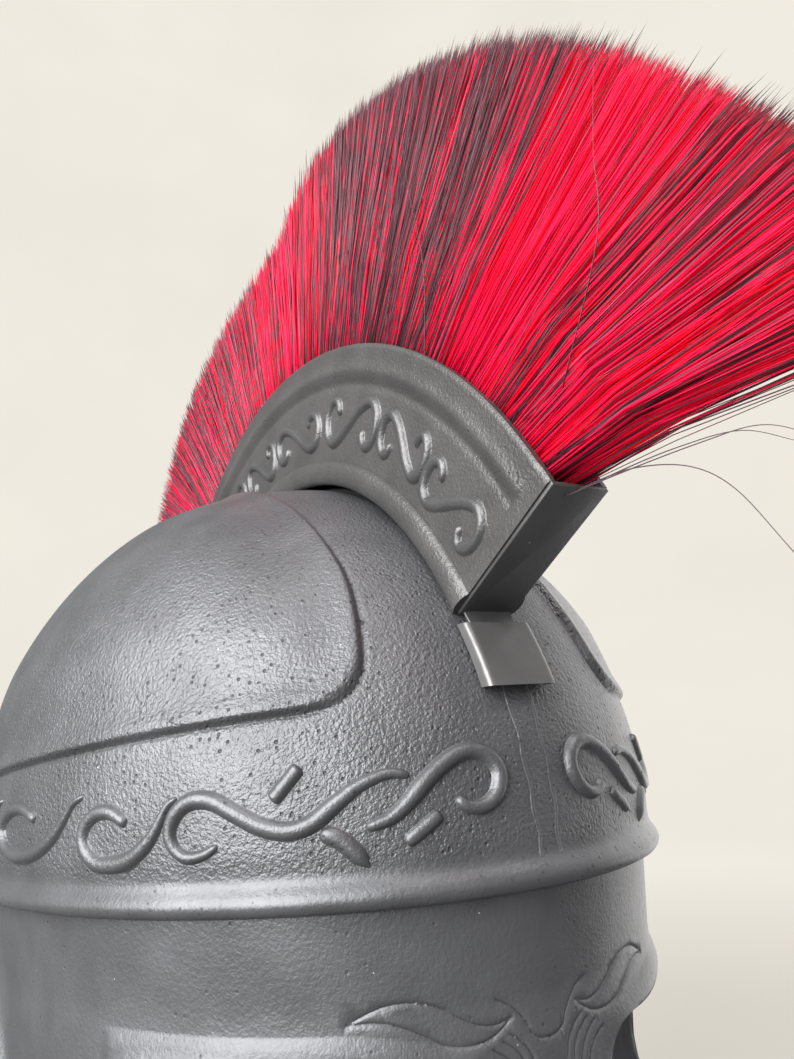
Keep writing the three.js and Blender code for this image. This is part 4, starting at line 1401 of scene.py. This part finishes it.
class StrandTree(Board):
    """The node tree that sets bristles along the top of the crest box."""

    SIZES: tuple[str, ...] = (
        "Centre Height", "Root Radius", "Tip Radius", "Root Half Angle", "Tip Half Angle", "Root Half Width",
        "Tip Half Width", "Strand Radius", "Scatter", "Raggedness", "Sag", "Clump", "Patch Low", "Patch High",
        "Gather Place", "Gather Reach", "Falloff", "Falloff Place", "Dip")
    DIP_FROM: Pair = (-0.62, -0.02)    # the trimmed edge dips in between these places, back to front
    DIP_TO: Pair = (0.03, 0.15)        # and comes out again between these
    CLUMP_RAGGED = 2.6                 # how much more ragged clumps are than single strands
    TIP_SCATTER = 0.0012               # sideways, in metres
    SAG_SCATTER = 0.0013
    SIDE_SCATTER = 0.0009
    WANDER = 0.016

    def __init__(self) -> None:
        """Builds the tree with its named sizes."""
        super().__init__(bpy.data.node_groups.new("bristle_tree", "GeometryNodeTree"))
        self.tree.interface.new_socket("Geometry", in_out="OUTPUT", socket_type="NodeSocketGeometry")
        inputs = [("Strands", "Int"), ("Seed", "Int"), *((name, "Float") for name in self.SIZES),
                  ("Bristle", "Material")]
        for name, kind in inputs:
            self.tree.interface.new_socket(name, in_out="INPUT", socket_type=f"NodeSocket{kind}")
        self.group = self.tree.nodes.new("NodeGroupInput")
        self.draws = 0
        out = self.tree.nodes.new("NodeGroupOutput")
        self.tree.links.new(self.strands().socket, out.inputs[0])

    def size(self, name: str) -> Wire:
        """A named input."""
        return Wire(self, self.group.outputs[name])

    def draw(self, low: Value = -1.0, high: Value = 1.0) -> Wire:
        """A random number for each strand."""
        self.draws += 1
        return self.node("FunctionNodeRandomValue", {"data_type": "FLOAT"}, {
            "Min_001": low, "Max_001": high, "ID": self.node("GeometryNodeInputIndex"),
            "Seed": self.size("Seed") + float(self.draws)}, "Value_001")

    def noise(self, x: Value, y: Value, z: Value, detail: float) -> Wire:
        """Noise around 0.5 at a place among the strands."""
        return self.node("ShaderNodeTexNoise", sockets={
            "Vector": self.vector(x, y, z), "Scale": 1.0, "Detail": detail})

    def on_fan(self, x: Value, radius: Value, angle: Value) -> Wire:
        """The point at a radius and an angle from the crest's centre."""
        return self.vector(x, 0.0 - radius * self.wave("SINE", angle),
                           self.size("Centre Height") + radius * self.wave("COSINE", angle))

    def one_strand(self) -> Wire:
        """A slim three-sided spike of unit height and unit width, hardly tapered until its tip."""
        spike = self.node("GeometryNodeMeshCone", {"fill_type": "NGON"}, {
            "Vertices": 3, "Side Segments": 3, "Radius Top": 0.0, "Radius Bottom": 1.0, "Depth": 1.0}, "Mesh")
        x, y, z = self.apart(self.node("GeometryNodeInputPosition"))
        widen = (1.0 - z * z * 0.8) / self.sum("MAXIMUM", 1.0 - z, 0.02)
        raised = z + (z > 0.2) * (z < 0.5) * 0.12 + (z > 0.5) * (z < 0.9) * 0.29
        shaped = self.node("GeometryNodeSetPosition", sockets={
            "Geometry": spike, "Position": self.vector(x * widen, y * widen, raised)})
        place = self.apart(self.node("GeometryNodeInputPosition"))[2]
        return self.stored(shaped, "along", place, "FLOAT", "POINT")

    def stored(self, geometry: Wire, name: str, value: Wire, kind: str, domain: str) -> Wire:
        """The geometry with a named attribute."""
        return self.node("GeometryNodeStoreNamedAttribute", {"data_type": kind, "domain": domain}, {
            "Geometry": geometry, "Name": name, "Value": value})

    def named(self, name: str, kind: str) -> Wire:
        """A named attribute's value."""
        return self.node("GeometryNodeInputNamedAttribute", {"data_type": kind}, {"Name": name})

    def strands(self) -> Wire:
        """All strands, realized and dressed."""
        place, across = self.draw(), self.draw()
        patch = self.noise(place * 13.0, across * 1.4, 3.7, 2.5)
        chosen = self.node("ShaderNodeMapRange", {"interpolation_type": "SMOOTHSTEP"}, {
            "Value": patch, "From Min": self.size("Patch Low"), "From Max": self.size("Patch High")})
        away = self.wave("ABSOLUTE", place - self.size("Gather Place")) / self.size("Gather Reach")
        chosen = chosen * (1.0 - away.span(0.35, 1.0))
        clump = self.noise(place * 46.0, across * 2.2, 9.1, 1.5) - 0.5
        past = self.sum("MAXIMUM", place - self.size("Falloff Place"), 0.0)
        dip = place.span(*self.DIP_FROM) * (1.0 - place.span(*self.DIP_TO)) * self.size("Dip")
        lean = (self.draw() + self.draw() + self.draw()) / 1.7
        root_angle = place * self.size("Root Half Angle")
        tip_angle = (place * self.size("Tip Half Angle") + lean * self.size("Scatter")
                     + clump * self.size("Clump"))
        reach = (self.size("Tip Radius") - past * past * self.size("Falloff") - dip
                 + clump * self.size("Raggedness") * self.CLUMP_RAGGED
                 - self.draw(0.0, 1.0) * self.draw(0.0, 1.0) * self.size("Raggedness"))
        spread = across * self.size("Tip Half Width") + self.draw() * self.TIP_SCATTER
        root = self.on_fan(across * self.size("Root Half Width"), self.size("Root Radius"), root_angle)
        tip = self.on_fan(spread, reach, tip_angle)
        run = self.merge("SUBTRACT", tip, root)
        length = self.node("ShaderNodeVectorMath", {"operation": "LENGTH"}, {0: run}, "Value")
        turned = self.node("FunctionNodeAlignRotationToVector", {"axis": "Z"}, {"Vector": run})
        spin = self.node("FunctionNodeAxisAngleToRotation", sockets={
            "Axis": (0.0, 0.0, 1.0), "Angle": self.draw(0.0, 2 * math.pi)})
        turned = self.node("FunctionNodeRotateRotation", {"rotation_space": "LOCAL"}, {
            "Rotation": turned, "Rotate By": spin})
        width = self.size("Strand Radius") * self.draw(0.65, 1.25)
        points = self.node("GeometryNodePoints", sockets={"Count": self.size("Strands"), "Position": root})
        keep = self.sum("GREATER_THAN", chosen, self.draw(0.0, 1.0))
        grown = self.node("GeometryNodeInstanceOnPoints", sockets={
            "Points": points, "Selection": keep, "Instance": self.one_strand(), "Rotation": turned,
            "Scale": self.vector(width, width, length)})
        wander = (self.noise(place * 19.0, across * 1.6, 5.3, 1.5) - 0.5) * self.WANDER
        sag = (wander - place * self.wave("ABSOLUTE", place) * self.size("Sag")
               + self.draw() * self.SAG_SCATTER)
        bend = self.vector(self.draw() * self.SIDE_SCATTER, 0.0 - sag * self.wave("COSINE", root_angle),
                           0.0 - sag * self.wave("SINE", root_angle))
        kept = self.stored(points, "bend", bend, "FLOAT_VECTOR", "POINT")
        kept = self.stored(kept, "strand", self.draw(0.0, 1.0), "FLOAT", "POINT")
        self.tree.links.new(kept.socket, grown.socket.node.inputs["Points"])
        real = self.node("GeometryNodeRealizeInstances", sockets={"Geometry": grown})
        along = self.named("along", "FLOAT")
        offset = self.scaled(self.named("bend", "FLOAT_VECTOR"), along * (1.0 - along) * 4.0)
        bent = self.node("GeometryNodeSetPosition", sockets={"Geometry": real, "Offset": offset})
        return self.node("GeometryNodeSetMaterial", sockets={
            "Geometry": bent, "Material": self.size("Bristle")})


@dataclass
class LooseHair:
    """A single long hair that has come out of the brush, along a few points."""

    points: tuple[Triple, ...]
    radius: float = 0.20
    thinning: float = 0.6              # share of its width that it loses towards its tip

    def add_to(self, work: MeshWork) -> None:
        """Adds the hair to a piece as a three-sided thread, closed at both ends."""
        line = spline(self.points, 7)
        rings = []
        for i, point in enumerate(line):
            run = unit(line[min(i + 1, len(line) - 1)] - line[max(i - 1, 0)])
            side = unit(np.cross(run, [1.0, 0.0, 0.0]))
            up = np.cross(side, run)
            size = self.radius * (1.0 - self.thinning * i / len(line))
            rings.append(np.array([point + size * (math.cos(a) * side + math.sin(a) * up)
                                   for a in (0.0, 2 * math.pi / 3, 4 * math.pi / 3)]))
        work.loft(rings)


CRIMSON = DyedBristle("bristle_crimson", (0.720, 0.006, 0.050), (0.12, 0.03, 0.045), 0.30, shine=0.18)
SCARLET = DyedBristle("bristle_scarlet", (0.880, 0.004, 0.020), (0.30, 0.02, 0.03), 0.22, shine=0.10)
# The rose strands are partly a pink dye of their own and partly painted highlight, where the brush looks
# paler and pinker.
ROSE = DyedBristle("bristle_rose", (0.800, 0.030, 0.110), (0.25, 0.06, 0.08), 0.22)
MAROON = DyedBristle("bristle_maroon", (0.120, 0.036, 0.048), (0.06, 0.04, 0.045), 0.40)
DUSKY = DyedBristle("bristle_dusky", (0.150, 0.062, 0.074), (0.09, 0.06, 0.065), 0.35)
HEATHER = DyedBristle("bristle_heather", (0.125, 0.048, 0.060), (0.06, 0.04, 0.045), 0.50)
SHADOW = DyedBristle("bristle_shadow", (0.035, 0.012, 0.016), (0.03, 0.02, 0.024), 0.40)


@dataclass
class Brush:
    """The brush of dyed bristles that stands in the crest box."""

    root_radius: float = 146.0
    root_half_angle: float = 58.2
    tip_half_angle: float = 69.3
    root_half_width: float = 6.0
    sag: float = 3.2
    clump_degrees: float = 6.0
    falloff: float = 11.0
    falloff_place: float = 0.34
    dip: float = 16.0
    core_half_width: float = 4.4
    core_root: float = 142.0
    core_tip: float = 212.0
    core_corner: float = 4.0
    core_drawn_in: float = 3.0         # degrees that it stays short of the bristles at each end
    # The core's dark red is painted shade: the inside of the brush, where little light falls.
    core_shade_finish: DyedBristle = DyedBristle("bristle_core_shade", (0.20, 0.004, 0.014), (0.20, 0.004, 0.014),
                                           0.0, 0.8)
    loose_finish: DyedBristle = DyedBristle("bristle_loose", (0.075, 0.048, 0.060), (0.07, 0.05, 0.06),
                                            0.0, 0.4)
    tufts: tuple[Tuft, ...] = (
        Tuft("bristles_scarlet", SCARLET, 9000, 101, (0.30, 0.56), 0.24, 7.4, 240.0, 3.0, 1.0, (0.9, 1.5)),
        Tuft("bristles_crimson", CRIMSON, 12000, 211, (0.0, 0.01), 0.24, 8.8, 240.5, 3.5, 1.3),
        # pinker strands, partly painted highlight
        Tuft("bristles_rose", ROSE, 10000, 307, (0.32, 0.56), 0.20, 8.8, 240.5, 3.5, 1.4, (-0.1, 1.05)),
        Tuft("bristles_maroon", MAROON, 12000, 401, (0.44, 0.60), 0.19, 9.2, 241.5, 4.0, 2.2),
        Tuft("bristles_dusky", DUSKY, 17000, 457, (0.28, 0.50), 0.20, 9.6, 241.0, 4.0, 1.8, (-0.62, 0.72)),
        Tuft("bristles_middle", HEATHER, 34000, 479, (0.22, 0.46), 0.19, 9.6, 242.5, 4.0, 2.6, (0.39, 0.33)),
        Tuft("bristles_shadow", SHADOW, 3600, 503, (0.40, 0.68), 0.16, 9.3, 243.5, 6.0, 2.6))
    loose: tuple[LooseHair, ...] = (
        LooseHair(((-1.0, -128.0, 216.0), (-0.5, -150.0, 216.5), (0.0, -161.0, 215.5), (0.0, -172.0, 211.5),
                   (0.0, -180.0, 204.5), (0.0, -188.0, 191.0))),
        LooseHair(((2.0, -128.0, 217.0), (2.0, -153.0, 217.5), (2.0, -169.0, 217.0), (2.0, -182.0, 215.0),
                   (2.0, -192.0, 209.0)), 0.18),
        LooseHair(((-3.0, -128.0, 215.5), (-3.0, -156.0, 215.0), (-3.0, -177.0, 214.0), (-3.0, -189.0, 212.5),
                   (-3.0, -198.0, 207.0)), 0.18),
        LooseHair(((-7.0, -99.0, 262.0), (-9.5, -107.0, 284.0), (-10.0, -108.0, 297.0),
                   (-10.0, -105.0, 318.0), (-10.0, -104.5, 335.0))),
        LooseHair(((-7.5, -150.0, 236.0), (-10.0, -168.0, 260.0), (-10.0, -171.0, 279.0),
                   (-10.0, -175.0, 298.0))))

    def inputs(self, tuft: Tuft) -> dict[str, object]:
        """The tree's named sizes for one tuft, in metres and radians."""
        return {
            "Strands": tuft.strands, "Seed": tuft.seed, "Centre Height": FORM.crest_z * MM,
            "Root Radius": self.root_radius * MM, "Tip Radius": tuft.tip_radius * MM,
            "Root Half Angle": math.radians(self.root_half_angle),
            "Tip Half Angle": math.radians(self.tip_half_angle),
            "Root Half Width": self.root_half_width * MM, "Tip Half Width": tuft.half_width * MM,
            "Strand Radius": tuft.width * MM, "Scatter": math.radians(tuft.scatter),
            "Raggedness": tuft.ragged * MM, "Sag": self.sag * MM,
            "Clump": math.radians(self.clump_degrees), "Patch Low": tuft.patch[0],
            "Patch High": tuft.patch[1], "Gather Place": tuft.gather[0], "Gather Reach": tuft.gather[1],
            "Falloff": self.falloff * MM, "Falloff Place": self.falloff_place, "Dip": self.dip * MM,
            "Bristle": tuft.finish.material()}

    def grow(self, tree: StrandTree, tuft: Tuft) -> None:
        """Grows one tuft and turns it into a plain mesh."""
        thing = linked(tuft.name, bpy.data.meshes.new(tuft.name))
        growth = thing.modifiers.new("growth", "NODES")
        growth.node_group = tree.tree
        names = {item.name: item.identifier for item in tree.tree.interface.items_tree
                 if item.item_type == "SOCKET" and item.in_out == "INPUT"}
        sizes = self.inputs(tuft)
        for name, value in sizes.items():
            growth[names[name]] = value
        thing.data = evaluated(thing)
        smoothed(thing.data)
        fit_out(thing, "crest_brush", "bristle", sizes["Bristle"])

    def core(self) -> None:
        """A plain filling between the bristles, so that no light comes through; its dark red is painted shade
        of the brush's depth.
        """
        half, root, tip, corner = self.core_half_width, self.core_root, self.core_tip, self.core_corner
        section = rounded([(-half, root, 0.0), (-half, tip, corner), (half, tip, corner), (half, root, 0.0)],
                          6.0)
        rows = []
        for share in np.linspace(-1.0, 1.0, 90):
            low, high = self.root_half_angle * share, (self.tip_half_angle - self.core_drawn_in) * share
            degrees = low + (high - low) * (section[:, 1] - root) / (tip - root)
            rows.append(crest_point(section[:, 0], section[:, 1], degrees))
        work = MeshWork()
        work.loft(rows)
        work.finish("brush_core", 40.0, "crest_brush", "bristle", self.core_shade_finish.plain())

    def loose_hairs(self) -> None:
        """The few loose hairs as one piece."""
        work = MeshWork()
        for hair in self.loose:
            hair.add_to(work)
        work.finish("loose_hairs", 180.0, "crest_brush", "bristle", self.loose_finish.plain())

    def build(self) -> None:
        """Makes the core, the bristles and the loose hairs."""
        tree = StrandTree()
        self.core()
        for tuft in self.tufts:
            self.grow(tree, tuft)
        self.loose_hairs()


# ---- Studio ----


@dataclass(frozen=True)
class SoftBox:
    """A square soft light."""

    name: str
    place: Triple
    aim: Triple
    side: float
    watts: float
    colour: Triple = (1.0, 1.0, 1.0)

    def build(self) -> None:
        """Makes the light."""
        data = bpy.data.lights.new(self.name, "AREA")
        data.shape = "SQUARE"
        data.size = self.side
        data.energy = self.watts
        data.color = self.colour
        lamp = linked(self.name, data)
        run = Vector(self.aim) - Vector(self.place)
        turn = run.to_track_quat("-Z", "Y").to_matrix().to_4x4()
        lamp.matrix_world = Matrix.Translation(self.place) @ turn
        lamp.visible_camera = False


@dataclass
class Studio:
    """A pale round backdrop that curves up from the floor, soft lights and the camera."""

    wall_colour: Triple = (0.880, 0.838, 0.752)
    near_glow: float = 0.52            # share of its glow that the floor keeps near the helmet
    near_colour: float = 0.24          # and share of its colour that it shows to the lamps there
    near_to_far: Pair = (0.30, 0.85)
    room_light: tuple[float, ...] = (0.26, 0.26, 0.265, 1.0)
    floor_radius: float = 0.75
    wall_radius: float = 2.4
    wall_height: float = 5.0
    around: int = 96
    lights: tuple[SoftBox, ...] = (
        SoftBox("window", (-1.50, -0.45, 0.85), (0.0, 0.0, 0.20), 1.8, 97.0),
        SoftBox("far_wall", (1.60, 0.15, 0.35), (0.0, 0.0, 0.20), 1.8, 20.0, (1.0, 0.98, 0.95)),
        SoftBox("ceiling", (0.20, -0.50, 1.90), (0.0, 0.0, 0.25), 1.4, 26.0))
    eye: Triple = (-0.1200, -0.2619, 0.1660)
    azimuth: float = -31.6
    elevation: float = -15.42
    roll: float = -4.96
    lens: float = 27.03

    def profile(self) -> np.ndarray:
        """Radius and height of the backdrop's section."""
        bend = self.wall_radius - self.floor_radius
        turn = np.linspace(0.0, math.pi / 2, 24)
        curve = np.stack([self.floor_radius + bend * np.sin(turn), bend * (1 - np.cos(turn))], axis=1)
        return np.vstack([[0.3, 0.0], curve, [self.wall_radius, self.wall_height]])

    def backdrop(self) -> None:
        """Makes the floor and wall as one sheet."""
        angle = np.arange(self.around) * 2 * math.pi / self.around
        points = [np.zeros((1, 3))]
        for radius, height in self.profile():
            points.append(np.stack([radius * np.cos(angle), radius * np.sin(angle),
                                    np.full(self.around, height)], axis=1))
        faces = [(0, 1 + i, 1 + (i + 1) % self.around) for i in range(self.around)]
        for ring in range(len(points) - 2):
            low, high = 1 + ring * self.around, 1 + (ring + 1) * self.around
            for i in range(self.around):
                k = (i + 1) % self.around
                faces.append((low + i, high + i, high + k, low + k))
        mesh = bpy.data.meshes.new("backdrop")
        mesh.from_pydata(np.vstack(points).tolist(), [], faces)
        smoothed(mesh)
        thing = linked("backdrop", mesh)
        bench = Bench("pale_wall")
        mottle = bench.noise(1.6, 3.0).span(0.3, 0.7)
        x, y, z = bench.apart(bench.place())
        away = ((x * x + y * y + z * z) ** 0.5).span(*self.near_to_far)
        lit = bench.blend(mottle, shade(self.wall_colour, 0.965), shade(self.wall_colour))
        lit = bench.blend(away, shade(self.wall_colour, self.near_glow), lit)
        tone = bench.blend(away, shade(self.wall_colour, self.near_colour), (0.0, 0.0, 0.0, 1.0))
        mesh.materials.append(bench.finish({"Base Color": tone, "Roughness": 0.9, "Emission Color": lit,
                                            "Emission Strength": 1.0, "Specular IOR Level": 0.0}))
        thing.visible_diffuse = False
        thing.visible_glossy = False
        thing.visible_shadow = False

    def world(self) -> None:
        """Gives the room its dim even light."""
        world = bpy.data.worlds.new("pale_room")
        world.use_nodes = True
        sky = world.node_tree.nodes["Background"]
        sky.inputs["Color"].default_value = self.room_light
        sky.inputs["Strength"].default_value = 1.0
        bpy.context.scene.world = world

    def camera(self) -> None:
        """Makes the camera, low in front on the wearer's right, looking up."""
        a, e, roll = (math.radians(v) for v in (self.azimuth, self.elevation, self.roll))
        back = Vector((math.sin(a) * math.cos(e), -math.cos(a) * math.cos(e), math.sin(e)))
        across = (-back).cross(Vector((0, 0, 1))).normalized()
        up = across.cross(-back)
        right = across * math.cos(roll) + up * math.sin(roll)
        top = up * math.cos(roll) - across * math.sin(roll)
        data = bpy.data.cameras.new("camera")
        data.lens = self.lens
        data.sensor_width = 36.0
        data.clip_start = 0.01
        data.clip_end = 20.0
        camera = linked("camera", data)
        turn = Matrix((right, top, back)).transposed().to_4x4()
        camera.matrix_world = Matrix.Translation(self.eye) @ turn
        bpy.context.scene.camera = camera

    def build(self) -> None:
        """Makes the whole studio."""
        self.backdrop()
        self.world()
        for light in self.lights:
            light.build()
        self.camera()
        bpy.context.scene.view_settings.view_transform = "Standard"


# ---- Making it all ----


def main() -> None:
    """Builds every piece of the helmet and the studio round it."""
    logging.basicConfig(level=logging.INFO, format="%(message)s")
    SkullCap().build()
    FaceWall().build()
    for side in Side:
        CrestPlate(side).build()
    CrestStrip().build()
    FoldedSocket("front_tab", 1).build()
    FoldedSocket("rear_tab", -1).build()
    Brush().build()
    Studio().build()


if __name__ == "__main__":
    main()
